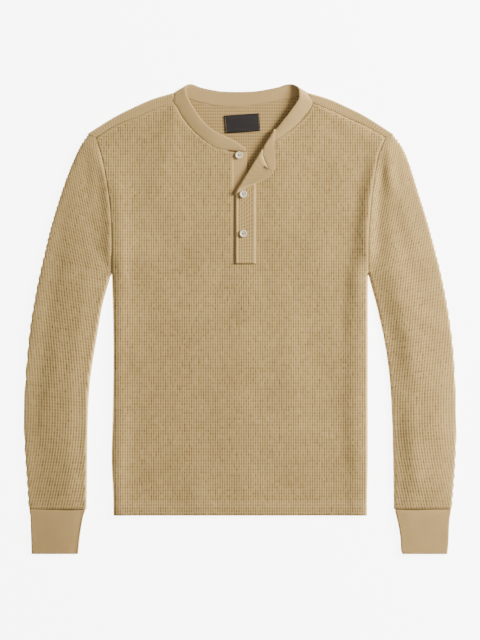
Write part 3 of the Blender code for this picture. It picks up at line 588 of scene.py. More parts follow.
def knit(lattice, place, thickness, flip, depth, lined=None, tone=0.0):
    """A waffle-knit piece: place maps flat (u, v) to points of the middle surface."""
    used, cells, plain = welded(lattice, flip)
    uv = np.array(lattice.points, float)[used]
    middle = place(uv[:, 0], uv[:, 1])
    centre, rest = uv[np.array(cells)].mean(axis=1), uv[np.array(plain)]
    noise = np.random.default_rng(11).normal(0.0, PIT_SPREAD / 2, len(cells))
    pits = depth(centre[:, 0], centre[:, 1]) * np.clip(1 + noise, 0.4, 1.6)
    one, other = rest[:, 1] - rest[:, 0], rest[:, 2] - rest[:, 0]
    area = abs(one[:, 0] * other[:, 1] - one[:, 1] * other[:, 0]) / 2
    edge_pits = 0.8 * depth(*rest.mean(axis=1).T) * np.clip(area / (2.0 * lattice.pitch), 0.0, 1.0)
    thick = thickness(uv[:, 0], uv[:, 1]) if callable(thickness) else thickness
    return shell(middle, cells, plain, thick, uv, pits, None, edge_pits, lined, tone)


def grid(middle, thickness, closed=False, flip=False, raised=None, tone=0.0):
    """A shell on points middle[row, column]; closed joins its last column to its first."""
    rows, columns = middle.shape[:2]
    number = np.arange(rows * columns).reshape(rows, columns)
    after = np.roll(number, -1, axis=1)
    last = columns if closed else columns - 1
    quads = np.stack(
        (number[:-1, :last], after[:-1, :last], after[1:, :last], number[1:, :last]), axis=-1
    ).reshape(-1, 4)
    if flip:
        quads = quads[:, ::-1]
    step_u = np.linalg.norm(np.diff(middle, axis=1), axis=2).mean()
    step_v = np.linalg.norm(np.diff(middle, axis=0), axis=2).mean()
    u, v = np.meshgrid(np.arange(columns) * step_u, np.arange(rows) * step_v)
    uv = np.stack((u.ravel(), v.ravel()), axis=1)
    flat_raised = None if raised is None else raised.ravel()
    thick = thickness.ravel() if isinstance(thickness, np.ndarray) else thickness
    dark = tone.ravel() if isinstance(tone, np.ndarray) else tone
    points = middle.reshape(-1, 3)
    return shell(points, quads.tolist(), [], thick, uv, raised=flat_raised, tone=dark)


def dress(piece, nodes):
    """Attaches a finished piece to the root body, and hides the parts of model.glb that it stands
    for.
    """
    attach(piece, "root")
    if nodes:
        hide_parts(*nodes)


# ---- materials ----------------------------------------------------------------------------------
def set_inputs(node, values):
    """The node, with some of its inputs set."""
    for socket, value in values.items():
        node.inputs[socket].default_value = value
    return node


def new_material(name, values):
    """A material whose shader has these values, as (material, shader, nodes, links)."""
    made = bpy.data.materials.new(name)
    made.use_nodes = True
    nodes = made.node_tree.nodes
    return made, set_inputs(nodes["Principled BSDF"], values), nodes, made.node_tree.links


def mottled(nodes, links, noise_values, low, high):
    """A colour that noise takes from one end to the other, each given as (place, colour)."""
    place = nodes.new("ShaderNodeTexCoord")
    noise = set_inputs(nodes.new("ShaderNodeTexNoise"), noise_values)
    links.new(place.outputs["Object"], noise.inputs["Vector"])
    tone = nodes.new("ShaderNodeValToRGB")
    for element, (at, colour) in zip(tone.color_ramp.elements, (low, high)):
        element.position = at
        element.color = (*colour, 1.0)
    links.new(noise.outputs["Fac"], tone.inputs["Fac"])
    return tone.outputs["Color"]


def cloth_material(name, colour, pit_shade_colour, roughness, sheen, bump, yarns):
    """Cotton knit: mottled colour, painted shade in the pits, and ribs of yarn as fine relief.

    yarns is the number of yarn ribs in a unit of the Knit coordinates.
    """
    values = {
        "Roughness": roughness,
        "Sheen Weight": sheen,
        "Sheen Roughness": 0.55,
        "Sheen Tint": (1.0, 0.92, 0.8, 1.0),
        "Specular IOR Level": 0.12,
    }
    made, shader, nodes, links = new_material(name, values)
    dull, bright = [c * 0.93 for c in colour], [min(1.0, c * 1.06) for c in colour]
    tone = mottled(nodes, links, {"Scale": 14.0, "Detail": 4.0}, (0.3, dull), (0.7, bright))
    # Painted shade: the colour is multiplied towards the pit colour by the pit attribute.
    pit = nodes.new("ShaderNodeAttribute")
    pit.attribute_name = "pit"
    deep = nodes.new("ShaderNodeMix")
    deep.data_type = "RGBA"
    deep.blend_type = "MULTIPLY"
    deep.inputs[7].default_value = (*pit_shade_colour, 1.0)
    links.new(pit.outputs["Fac"], deep.inputs[0])
    links.new(tone, deep.inputs[6])
    links.new(deep.outputs[2], shader.inputs["Base Color"])

    place = nodes.new("ShaderNodeTexCoord")
    stretch = set_inputs(nodes.new("ShaderNodeMapping"), {"Scale": (yarns, yarns, 1.0)})
    links.new(place.outputs["UV"], stretch.inputs["Vector"])
    waves = {"Scale": 0.5, "Distortion": 1.2, "Detail": 2.0, "Detail Scale": 1.4}
    yarn = set_inputs(nodes.new("ShaderNodeTexWave"), waves)
    yarn.wave_type = "BANDS"
    yarn.bands_direction = "X"
    links.new(stretch.outputs["Vector"], yarn.inputs["Vector"])
    fuzz = set_inputs(nodes.new("ShaderNodeTexNoise"), {"Scale": 900.0, "Detail": 3.0})
    links.new(place.outputs["Object"], fuzz.inputs["Vector"])
    both = nodes.new("ShaderNodeMath")
    both.operation = "MULTIPLY_ADD"
    both.inputs[1].default_value = 0.6
    links.new(yarn.outputs["Fac"], both.inputs[0])
    links.new(fuzz.outputs["Fac"], both.inputs[2])
    uneven = set_inputs(nodes.new("ShaderNodeBump"), {"Strength": bump, "Distance": 0.0006})
    links.new(both.outputs["Value"], uneven.inputs["Height"])
    links.new(uneven.outputs["Normal"], shader.inputs["Normal"])
    return made


def button_look():
    values = {"Roughness": 0.28, "Coat Weight": 0.15, "Coat Roughness": 0.15}
    made, shader, nodes, links = new_material("button_pearl", values)
    swirl = {"Scale": 260.0, "Detail": 3.0, "Distortion": 1.5}
    tone = mottled(nodes, links, swirl, (0.0, (0.66, 0.56, 0.38)), (1.0, (0.80, 0.72, 0.54)))
    links.new(tone, shader.inputs["Base Color"])
    return made


def floor_look():
    glow = {"Emission Color": (1.0, 1.0, 1.0, 1.0), "Emission Strength": 6.5}
    made, shader, nodes, links = new_material("paper", {"Roughness": 0.9, **glow})
    fibre = {"Scale": 5.0}
    tone = mottled(nodes, links, fibre, (0.0, (0.90, 0.90, 0.90)), (1.0, (0.93, 0.93, 0.93)))
    links.new(tone, shader.inputs["Base Color"])
    return made


# Colours of the painted shade in pits and furrows.
WAFFLE_PIT_SHADE, RIB_PIT_SHADE = (0.27, 0.225, 0.18), (0.74, 0.69, 0.62)
WAFFLE = cloth_material("waffle_cotton", (0.590, 0.405, 0.158), WAFFLE_PIT_SHADE, 0.92, 0.08, 0.5, 60.0)
RIBBED = cloth_material("rib_cotton", (0.50, 0.332, 0.132), RIB_PIT_SHADE, 0.9, 0.06, 0.6, 75.0)
THREAD = cloth_material("thread", (0.56, 0.40, 0.20), RIB_PIT_SHADE, 0.75, 0.1, 0.3, 300.0)
LABEL = cloth_material("label_weave", (0.014, 0.011, 0.010), RIB_PIT_SHADE, 0.6, 0.02, 0.5, 150.0)
PEARL = button_look()
# A dark sheet of painted shadow for the buttonhole's opening.
SHADOW = cloth_material("slit", (0.16, 0.10, 0.05), RIB_PIT_SHADE, 0.95, 0.0, 0.2, 60.0)


# ---- front --------------------------------------------------------------------------------------
ROLL_END = 0.22  # height of the middle surface where a side fold ends
# Numbers of rows: the hem, from it to the armpits, on to the slit, and from there to the shoulders.
HEM_ROWS, BODY_ROWS, ARMPIT_ROWS, CHEST_ROWS = 4, 77, 5, 53
ROLL_LENGTH = 5.6  # the cloth's length round a side fold


def body_edge(side, y, inset, fade):
    """The armhole, and below it a line inset from the outline; fade is the length between them."""
    low = level(BODY_SIDE, side, y) - SIDES[side] * inset
    high = level(ARMHOLE, side, np.maximum(y, ARMPIT_Y))
    return mix(low, high, np.clip((y - ARMPIT_Y) / fade, 0.0, 1.0))


def front_edge(side, y):
    """Where the front ends at the armhole, or begins to roll in at the side fold."""
    return body_edge(side, y, KNIT / 2 + SIDE_ROLL, 4.0)


def front_top(side):
    """The front's upper boundary, from the armhole to the slit, as (x, y, height or NaN)."""
    none = float("nan")
    if side == "left":
        points = [(s.left_x, s.left_y, none) for s in SHOULDER_SEAM[:-1]]
        return points + [(b.seam_x, b.seam_y, b.seam_z) for b in reversed(BAND_FRONT_LEFT[2:])]
    points = [(s.right_x, s.right_y, none) for s in SHOULDER_SEAM[:-1]]
    points += [(b.seam_x, b.seam_y, b.seam_z) for b in BAND_FRONT_RIGHT]
    return points + [(x, fold_line_y(x), none) for x in (44.0, 33.0, 22.0, SLOT_HALF)]


def fold_line_y(x):
    """The height on the page where the corner's fold line passes x."""
    return FOLD_FOOT[1] + (x - FOLD_FOOT[0]) * math.tan(FOLD_ANGLE)


def top_rise(side, top_x):
    """How far the front rises above its usual height where it meets the neckband."""
    points = np.array(front_top(side))
    usual = front_height(points[:, 0], points[:, 1])
    rise = np.where(np.isnan(points[:, 2]), 0.0, points[:, 2] - usual)
    order = np.argsort(points[:, 0])
    return np.interp(top_x, points[order, 0], rise[order])


def seam_fade(y):
    """An armhole seam stands up between the armpit and the shoulder."""
    return ramp(y, SLOT_Y - 20, SLOT_Y + 20) * (1 - ramp(y, 240.0, 300.0))


def front_middle(u, v):
    """The front's middle surface; beyond its side folds u runs on round the roll."""
    x, y, z = u.copy(), v.copy(), np.zeros_like(u)
    for side, sign in SIDES.items():
        mine = u < 0 if side == "left" else u >= 0
        edge = front_edge(side, v)
        top = np.array(front_top(side))
        order = np.argsort(top[:, 0])
        share = (u - edge) / (sign * SLOT_HALF - edge)
        top_x = mix(top[0, 0], sign * SLOT_HALF, share)
        top_y = np.interp(top_x, top[order, 0], top[order, 1])
        part = np.clip((v - SLOT_Y) / (top_y - SLOT_Y), 0.0, 1.0)
        inside = np.where(sign * u > sign * edge, edge, u)
        height = front_height(inside, v) + top_rise(side, top_x) * part**3
        seam = sign * (edge - u)
        rise, width = SEAM_RIDGE[side][:2]
        height = height + rise * seam_fade(v) * np.exp(-((seam / width) ** 2))
        sink = SEAM_SINK * np.exp(-((seam / SINK_WIDTH) ** 2))
        height = height - sink * ramp(v, SLOT_Y - 10, SLOT_Y + 15)
        turn = np.clip(sign * (u - edge) / ROLL_LENGTH, 0.0, 1.0) * math.pi / 2
        rolled = inside + sign * SIDE_ROLL * np.sin(turn)
        low = ROLL_END + (height - ROLL_END) * np.cos(turn)
        x, z = np.where(mine, rolled, x), np.where(mine, low, z)
    return np.stack((x, y, z), axis=1)


def between(ys, count):
    """Evenly spaced rows between two heights, both included."""
    return list(np.linspace(ys[0], ys[1], count + 1))


def make_front():
    """Rows of cells up to the slit, then a strip on each side of it."""
    lattice = Lattice(RIB_PITCH)
    body_rows = between((HEM_Y, HEM_Y + HEM_DEPTH), HEM_ROWS)
    body_rows += between((HEM_Y + HEM_DEPTH, ARMPIT_Y), BODY_ROWS)[1:]
    rows = []
    for y in body_rows:
        left, right = float(front_edge("left", y)), float(front_edge("right", y))
        rows.append(lattice.row(y, left - ROLL_LENGTH, right + ROLL_LENGTH))
    for y in between((ARMPIT_Y, SLOT_Y), ARMPIT_ROWS)[1:]:
        also = (-SLOT_HALF, SLOT_HALF) if y > SLOT_Y - 0.1 else ()
        left, right = float(front_edge("left", y)), float(front_edge("right", y))
        rows.append(lattice.row(y, left, right, also))
    lattice.rows(rows)
    base = rows[-1]
    for side, sign in SIDES.items():
        top = np.array([p[:2] for p in front_top(side)])
        peak = int(np.argmax(top[:, 1]))
        outside, neck = top[: peak + 1], top[peak:][::-1]
        own = [entry for entry in base if sign * lattice.points[entry[1]][0] > SLOT_HALF - 0.1]
        strip = [own]
        for y in between((SLOT_Y, top[peak, 1]), CHEST_ROWS)[1:]:
            if y < ARMHOLE[-1].y:
                arm = float(front_edge(side, y))
            else:
                arm = float(np.interp(y, outside[:, 1], outside[:, 0]))
            inner = sign * SLOT_HALF
            if y > neck[0, 1]:
                inner = float(np.interp(y, neck[:, 1], neck[:, 0]))
            strip.append(lattice.row(y, min(arm, inner), max(arm, inner)))
        lattice.rows(strip)

    def thickness(u, v):
        return KNIT + HEM_EXTRA * (1 - ramp(v, HEM_Y + HEM_DEPTH - 2.0, HEM_Y + HEM_DEPTH + 0.5))

    def depth(u, v):
        hem = ramp(v, HEM_Y + HEM_DEPTH - 5, HEM_Y + HEM_DEPTH + 3)
        roll = np.maximum(u - front_edge("right", v), front_edge("left", v) - u)
        seam_line = np.exp(-(((v - HEM_Y - HEM_DEPTH) / 2.0) ** 2))
        share = mix(0.95, 1.0, hem) * (1 - 0.8 * seam_line) * (1 - 0.7 * ramp(roll, -1.0, 3.0))
        return PIT_DEPTH * share

    piece = add_piece("front_cloth", [knit(lattice, front_middle, thickness, False, depth)], WAFFLE)
    dress(piece, ["front_panel"])


# ---- back ---------------------------------------------------------------------------------------
BACK_INSET = KNIT + SIDE_ROLL + 0.2
SHOULDER_POINTS = 73  # along a shoulder
# Numbers of rows: to the armpits, to the armholes' tops, to the neck, and beside it.
BACK_ROWS, BLADE_ROWS, YOKE_ROWS, NECK_ROWS = 81, 46, 10, 4
INSIDE_SHADE = 0.22  # painted shade on the back's inside, which lies under the front and the neckband
BACK_NECK = [BAND_TURN_LEFT[-1], *BAND_BACK, BAND_TURN_RIGHT[0]]


def shoulder_data(side):
    """Along a shoulder: x, the y where the fold begins, its radius, and the seam's y and height."""
    rows = []
    for k, (seam, fold) in enumerate(zip(SHOULDER_SEAM, SHOULDER_FOLD)):
        seam_x, seam_y = getattr(seam, side + "_x"), getattr(seam, side + "_y")
        fold_x, fold_y = getattr(fold, side + "_x"), getattr(fold, side + "_y")
        seam_z = float(front_height(np.array(seam_x), np.array(seam_y)))
        if k == len(SHOULDER_SEAM) - 1:
            seam_z = (BAND_FRONT_LEFT[-1] if side == "left" else BAND_FRONT_RIGHT[0]).seam_z
        upper = mix(KNIT / 2 + FOLD_RISE, seam_z, 0.5)
        radius = (upper - KNIT / 2) / 2
        rows.append((fold_x, fold_y - KNIT / 2 - radius, radius, seam_x, seam_y, seam_z))
    return np.array(rows)


def back_edge(side, y):
    """Where the back ends, at the armhole or inside the front's roll."""
    return body_edge(side, y, BACK_INSET, 8.0)


def back_place(u, v):
    """The back's middle surface is flat."""
    return np.stack((u, v, np.full_like(u, KNIT / 2)), axis=1)


def shoulder_fold(side):
    """The back's cloth round a shoulder's fold and on to the seam with the front."""
    data = shoulder_data(side)
    at = np.linspace(0, len(data) - 1, SHOULDER_POINTS)
    rows = [smooth(np.arange(len(data)), column, at) for column in data.T]
    fold_x, start, radius, seam_x, seam_y, seam_z = rows
    path = []
    for turn in np.linspace(-math.pi / 2, math.pi / 2, FACETS + 1):
        path.append((fold_x, start + radius * np.cos(turn), KNIT / 2 + radius * (1 + np.sin(turn))))
    top_z = KNIT / 2 + 2 * radius
    end_y = seam_y + SEAM
    for share in np.linspace(0, 1, 8)[1:]:
        sink = 0.5 * math.exp(-(((1 - share) * 5) ** 2))
        height = mix(top_z, seam_z, share) - sink
        path.append((mix(fold_x, seam_x, share), mix(start, end_y, share), height))
    middle = np.stack([np.stack(p, axis=1) for p in path], axis=1)
    middle[:, 0, 1] += 0.05
    middle[-1] += (middle[-1] - middle[-2]) * 0.4
    raised = np.zeros(middle.shape[:2])
    raised[1::2, FACETS + 1 :: 2] = -0.8 * PIT_DEPTH
    raised[1::2, FACETS + 2 : -1 : 2] = -0.4 * PIT_DEPTH
    return grid(middle, KNIT, flip=side == "right", raised=raised)


def even_depth(share):
    """Pits that are everywhere this share of the full depth."""
    return lambda u, v: np.full_like(u, share * PIT_DEPTH)


def seen_through_the_neck(u, v):
    """Whether a place on the back's inside shows in the neck's opening."""
    return v > 235.0 and abs(u) < 118.0


def make_back():
    """The flat back, and its shoulders' folds as parts of their own."""
    lattice = Lattice(RIB_PITCH)
    neck = np.array([(b.seam_x, b.seam_y + 0.9) for b in BACK_NECK])
    low_x, low_y = neck[np.argmin(neck[:, 1])]
    rows = []
    body = between((HEM_Y + 1.0, ARMPIT_Y), BACK_ROWS)
    for y in body + between((ARMPIT_Y, ARMHOLE[-1].y), BLADE_ROWS)[1:]:
        rows.append(lattice.row(y, float(back_edge("left", y)), float(back_edge("right", y))))
    corner = {}
    for side in SIDES:
        data = shoulder_data(side)
        edge_x = np.array([getattr(ARMHOLE[-1], side), *data[:, 0]])
        corner[side] = (edge_x, np.array([ARMHOLE[-1].y, *data[:, 1]]))
    for y in between((ARMHOLE[-1].y, low_y), YOKE_ROWS)[1:]:
        left = float(np.interp(y, corner["left"][1], corner["left"][0]))
        right = float(np.interp(y, corner["right"][1], corner["right"][0]))
        rows.append(lattice.row(y, left, right, (low_x,) if y > low_y - 0.1 else ()))
    lattice.rows(rows)
    for side, sign in SIDES.items():
        strip = [[e for e in rows[-1] if sign * (lattice.points[e[1]][0] - low_x) > -0.1]]
        curve = neck[sign * (neck[:, 0] - low_x) > -0.1]
        curve = curve[np.argsort(curve[:, 1])]
        edge_x, edge_y = corner[side]
        for y in between((low_y, edge_y[-1]), NECK_ROWS)[1:]:
            outside = float(np.interp(y, edge_y, edge_x))
            inner = float(np.interp(y, curve[:, 1], curve[:, 0]))
            strip.append(lattice.row(y, min(outside, inner), max(outside, inner)))
        lattice.rows(strip)
    shown = seen_through_the_neck
    parts = [knit(lattice, back_place, KNIT, True, even_depth(0.7), shown, INSIDE_SHADE)]
    parts += [shoulder_fold(side) for side in SIDES]
    piece = add_piece("back_cloth", parts, WAFFLE)
    dress(piece, ["back_panel"])


# ---- sleeves ------------------------------------------------------------------------------------
# A sleeve's rows stand higher outside than at the body: by the first length at the armpit, and by
# the second one, which fades, below it. ARM_SPREAD draws the rows beside the armhole together.
SECTION_SLANT, SLANT_BELOW, SLANT_FADE, ARM_SPREAD = 27.0, 25.0, 1.5, 1.15
UPPER_SHARES = [0.14, 0.28, 0.42, 0.56, 0.70, 0.85, 1.0]  # of the way up the armhole
SLEEVE_START, SLEEVE_END = 52.0, -321.0  # where it hangs free of the body, and its cuff seam
TOP_POINTS, LOW_POINTS = 40, 12  # of a section's upper and lower layer
# A sleeve's crown: where across it is highest, its height, and the share of it beside the armhole.
CROWN = {"left": (0.30, 3.4, 0.4), "right": (0.36, 5.0, 0.9)}
INNER_LIFT = {"left": 2.8, "right": 0.0}  # an inner fold is this much thicker than an outer one
CUFF_END_SHARE, CUFF_END = 0.3, 55.0  # what is left of a sleeve's crown at its cuff, and from where
STEPS = 400  # of the finely divided lines that a sleeve's sections are spread on
# The ribs' slant on a sleeve, as (distance down it, slant).
SLEEVE_LEAN = [(0, 0.40), (250, 0.36), (400, 0.18), (480, 0.0), (560, -0.22), (640, -0.28)]


def stations(side):
    """Evenly spaced sections down the sleeve, as (height at the body, height outside)."""
    top = ARMHOLE[-1].y
    arms = [ARMPIT_Y, SLOT_Y] + [mix(SLOT_Y, top, share) for share in UPPER_SHARES]
    arms = np.array(arms[::-1])
    steps = np.linspace(0, len(arms) - 1, STEPS)
    y_in = np.interp(steps, np.arange(len(arms)), arms)
    outer_top = getattr(SHOULDER_FOLD[0], side + "_y")
    y_out = mix(outer_top, ARMPIT_Y + SECTION_SLANT, (steps / steps[-1]) ** ARM_SPREAD)
    low_in = np.linspace(ARMPIT_Y, SLEEVE_END, STEPS)[1:]
    share = (SLEEVE_START - low_in) / (SLEEVE_START - SLEEVE_END)
    low_out = low_in + SLANT_BELOW * np.maximum(1 - share, 0.0) ** SLANT_FADE
    y_in, y_out = np.concatenate((y_in, low_in)), np.concatenate((y_out, low_out))
    middle = (y_in + y_out) / 2
    lengths = middle[0] - middle
    count = round(float(lengths[-1]) / SLEEVE_ROW)
    at = np.linspace(0, lengths[-1], count + 1)
    armpit = np.interp(-ARMPIT_Y, -y_in, lengths)
    at[np.argmin(abs(at - armpit))] = armpit
    return np.interp(at, lengths, y_in), np.interp(at, lengths, y_out)


def round_fold(centre, out, radius, lower, turns):
    """Points round a fold that bulges towards out, from its lower layer's height."""
    across = centre + out * (radius * np.cos(turns))[:, None]
    return np.column_stack((across, lower + radius * (1 + np.sin(turns))))


def sleeve_section(side, y_in, y_out):
    """One section of the sleeve's middle surface, from the body's side over the top and back."""
    sign = SIDES[side]
    above = y_in >= ARMPIT_Y - 0.01
    if above:
        inner = np.array([float(level(ARMHOLE, side, y_in)), y_in])
    else:
        last = SLEEVE_INNER[-1].y
        inset = sign * 0.3 * max(0.0, (y_in - last) / (ARMPIT_Y - last))
        inner = np.array([float(level(SLEEVE_INNER, side, y_in)) - inset, y_in])
    outer = np.array([float(level(SLEEVE_OUTER, side, y_out)), y_out])
    at_top = (y_in - SLOT_Y) / (ARMHOLE[-1].y - SLOT_Y)
    if at_top > 0.85:
        corner = np.array([getattr(SHOULDER_FOLD[0], side + end) for end in ("_x", "_y")])
        outer = mix(outer, corner, float(ramp(at_top, 0.85, 1.0)))
    d = (outer - inner) / np.linalg.norm(outer - inner)
    if above:
        inner = inner + d * SEAM
    lower = KNIT / 2
    radius = FOLD_RISE / 2
    blend = float(np.clip((y_in - SLEEVE_START) / (ARMPIT_Y - SLEEVE_START), 0.0, 1.0))
    tail = mix(CUFF_END_SHARE, 1.0, float(ramp(y_in - SLEEVE_END, 0.0, CUFF_END)))
    lift = INNER_LIFT[side] * (1 - blend) * tail
    inner_radius = radius + lift / 2
    a, b = inner + d * (inner_radius + lower), outer - d * (radius + lower)
    ends = float(ramp(1 - at_top, 0.0, 0.3)) if above else 1.0
    share = np.linspace(0, 1, TOP_POINTS)
    top = a + (b - a) * share[:, None]
    seam = float(seam_fade(y_in))
    peak, height, beside_seam = CROWN[side]
    fall = 1 - np.maximum((share - peak) / (1 - peak), 0.0) ** 1.25
    crown = mix(ramp(share, 0.0, peak), beside_seam * ramp(share, 0.1, peak + 0.1), seam) * fall
    z = lower + FOLD_RISE + ends * height * tail * crown + lift * (1 - share)
    creases = relief(SLEEVE_FOLDS, *top.T) + relief(FINE_SLEEVE_FOLDS, *top.T)
    z = z + ends * creases + ends * rumple(*top.T)
    body_z = float(front_height(np.array(inner[0]), np.array(y_in))) - SEAM_SINK * ends
    z = z + blend * (body_z - lower - FOLD_RISE) * (1 - share) ** 3
    rise, _, steep, long, steep_share = SEAM_RIDGE[side]
    away = share * float(np.linalg.norm(b - a))
    ridge = mix(np.exp(-((away / long) ** 2)), np.exp(-((away / steep) ** 2)), steep_share)
    z = z + blend * rise * seam * ridge
    body_z += rise * seam
    section = [np.column_stack((top, z))]
    turns = np.linspace(math.pi / 2, -math.pi / 2, 2 * FACETS + 1)[1:]
    section.append(round_fold(b, d, radius, lower, turns))
    share = np.linspace(1, 0, LOW_POINTS)[1:]
    low = a + (b - a) * share[:, None]
    section.append(np.column_stack((low, np.full(len(low), lower))))
    if above:
        section.insert(0, [(*inner, body_z)])
        section.append([(*inner, lower)])
        if y_in < ARMPIT_Y + 0.01:
            middle_z = (body_z + lower) / 2
            section[0] = [(*inner, mix(middle_z, body_z, 0.8))]
            section[-1] = [(*inner, mix(middle_z, lower, 0.8))]
    else:
        rising = np.linspace(0, math.pi / 2, FACETS + 1)[:-1]
        section.insert(0, round_fold(a, -d, inner_radius, lower, rising))
        closing = np.linspace(-math.pi / 2, 0, FACETS + 1)[1:]
        section.append(round_fold(a, -d, inner_radius, lower, closing))
    section = np.concatenate([np.asarray(part, float) for part in section])
    lengths = path_lengths(section)
    head = 1 if above else FACETS
    centre = head + TOP_POINTS // 2
    return section, lengths - lengths[centre]


def make_sleeve(side):
    """Rows of cells round a sleeve's sections, which the ribs' slant turns slowly."""
    lattice = Lattice(SLEEVE_RIB)
    y_in, y_out = stations(side)
    sections, rows, folds, starts, closings = [], [], [], [], []
    flow, lean = 0.0, 0.0
    for k, (body_y, out_y) in enumerate(zip(y_in, y_out)):
        section, lengths = sleeve_section(side, body_y, out_y)
        if k:
            step = abs(y_in[k - 1] + y_out[k - 1] - body_y - out_y) / 2
            flow += step
            lean += step * float(np.interp(flow, *zip(*SLEEVE_LEAN)))
        lengths = lengths + lean
        sections.append((flow, section, lengths))
        row = lattice.row(flow, float(lengths[0]), float(lengths[-1]))
        if body_y < ARMPIT_Y - 0.01:
            lattice.welds.append((row[0][1], row[-1][1]))
        rows.append(row)
        above = body_y >= ARMPIT_Y - 0.01
        folds.append(lengths[(1 if above else FACETS) + TOP_POINTS + FACETS - 1])
        starts.append(lengths[0] - (20.0 if above else 0.0))
        closings.append(lengths[-1])
    lattice.rows(rows)
    flows = np.array([s[0] for s in sections])

    def depth(u, v):
        """Pits are shallower round the folds, so that the outline stays calm."""
        outer, *inner = [abs(u - np.interp(v, flows, at)) for at in (folds, starts, closings)]
        calm = mix(0.3, 0.75, ramp(outer, 1.5, 6.0)) + 0.2 * ramp(outer, 10.0, 45.0)
        return PIT_DEPTH * calm * mix(0.3, 1.0, ramp(np.minimum(*inner), 1.5, 6.0))

    def place(u, v):
        placed = np.empty((len(u), 3))
        which = np.argmin(abs(v[:, None] - flows[None, :]), axis=1)
        for k, (_, section, lengths) in enumerate(sections):
            mine = which == k
            for axis in range(3):
                placed[mine, axis] = np.interp(u[mine], lengths, section[:, axis])
        return placed

    part = knit(lattice, place, KNIT, side == "right", depth)
    piece = add_piece(f"sleeve_cloth_{side}", [part], WAFFLE)
    dress(piece, [f"sleeve_{side}"])


def make_cuff(side):
    """A tube of fine rib, from rings of points."""
    start, narrow, last, *end = CUFF_ROWS
    ys = (np.linspace(start, narrow, 5), np.linspace(narrow, last, 14)[1:], end)
    rings = []
    for y in np.concatenate(ys):
        inner = np.array([float(level(CUFF[::-1], side + "_inner", y)), y])
        outer = np.array([float(level(CUFF[::-1], side + "_outer", y)), y])
        d = (outer - inner) / np.linalg.norm(outer - inner)
        lower, radius = RIB / 2, CUFF_RISE / 2
        reach = radius + lower
        a, b = inner + d * reach, outer - d * reach
        share = np.linspace(0, 1, 30)
        over = a + (b - a) * share[:, None]
        puff = CUFF_CROWN * np.sin(math.pi * share) + relief(FINE_SLEEVE_FOLDS, *over.T)
        top = np.column_stack((over, lower + CUFF_RISE + puff))
        turns = np.linspace(math.pi / 2, -math.pi / 2, FACETS + 1)[1:-1]
        outer_fold = round_fold(b, d, radius, lower, turns)
        low = np.column_stack((b + (a - b) * share[:, None], np.full(len(share), lower)))
        inner_fold = round_fold(a, -d, radius, lower, -turns)
        ring = np.concatenate((top, outer_fold, low, inner_fold, top[:1]))
        lengths = path_lengths(ring)
        at = np.linspace(0, lengths[-1], CUFF_COLUMNS + 1)[:-1]
        rings.append(np.stack([np.interp(at, lengths, column) for column in ring.T], axis=1))
    middle = np.array(rings)
    raised = np.zeros(middle.shape[:2])
    raised[:, 1::2] = -CUFF_FURROW
    thickness = np.full(middle.shape[:2], RIB)
    thickness[0], thickness[-1] = 0.5 * RIB, 0.45 * RIB
    thickness[1] = 0.85 * RIB
    part = grid(middle, thickness, closed=True, flip=side == "right", raised=raised)
    piece = add_piece(f"cuff_cloth_{side}", [part], RIBBED)
    dress(piece, [f"cuff_{side}"])


# ---- neck ---------------------------------------------------------------------------------------
FOLD_ALONG = (math.cos(FOLD_ANGLE), math.sin(FOLD_ANGLE))
FOLD_OUT = (-math.sin(FOLD_ANGLE), math.cos(FOLD_ANGLE))  # towards the part that turns back


def past_fold(x, y):
    """How far a point of the unturned corner is past the fold line."""
    return (x - FOLD_FOOT[0]) * FOLD_OUT[0] + (y - FOLD_FOOT[1]) * FOLD_OUT[1]


def turned(x, y, lift):
    """Where points of the unturned corner lie once it is folded back over the fold line."""
    x, y = np.asarray(x, float), np.asarray(y, float)
    s = past_fold(x, y)
    along = (x - FOLD_FOOT[0]) * FOLD_ALONG[0] + (y - FOLD_FOOT[1]) * FOLD_ALONG[1]
    bend = np.clip(s / FOLD_LENGTH, 0.0, 1.0) * math.pi
    out = np.minimum(s, 0.0) - np.maximum(s - FOLD_LENGTH, 0.0) + FOLD_RADIUS * np.sin(bend)
    px = FOLD_FOOT[0] + along * FOLD_ALONG[0] + out * FOLD_OUT[0]
    py = FOLD_FOOT[1] + along * FOLD_ALONG[1] + out * FOLD_OUT[1]
    height = front_height(px, py) + lift + FOLD_RADIUS * (1 - np.cos(bend))
    return np.stack((px, py, height), axis=-1)


def corner_line(line, s):
    """Where a line of the unturned corner is at the distances s past the fold line."""
    distances = np.array([past_fold(*p) for p in line])
    order = np.argsort(distances)
    points = np.array(line)[order]
    return [np.interp(s, distances[order], points[:, k]) for k in (0, 1)]


def past_fold_steps():
    """The rows of the turned corner, as distances past the fold line."""
    bend = np.linspace(0.0, FOLD_LENGTH, FACETS + 1)
    return np.concatenate((bend, np.arange(FOLD_LENGTH + 0.8, TURNED_END + 0.1, 1.0)))


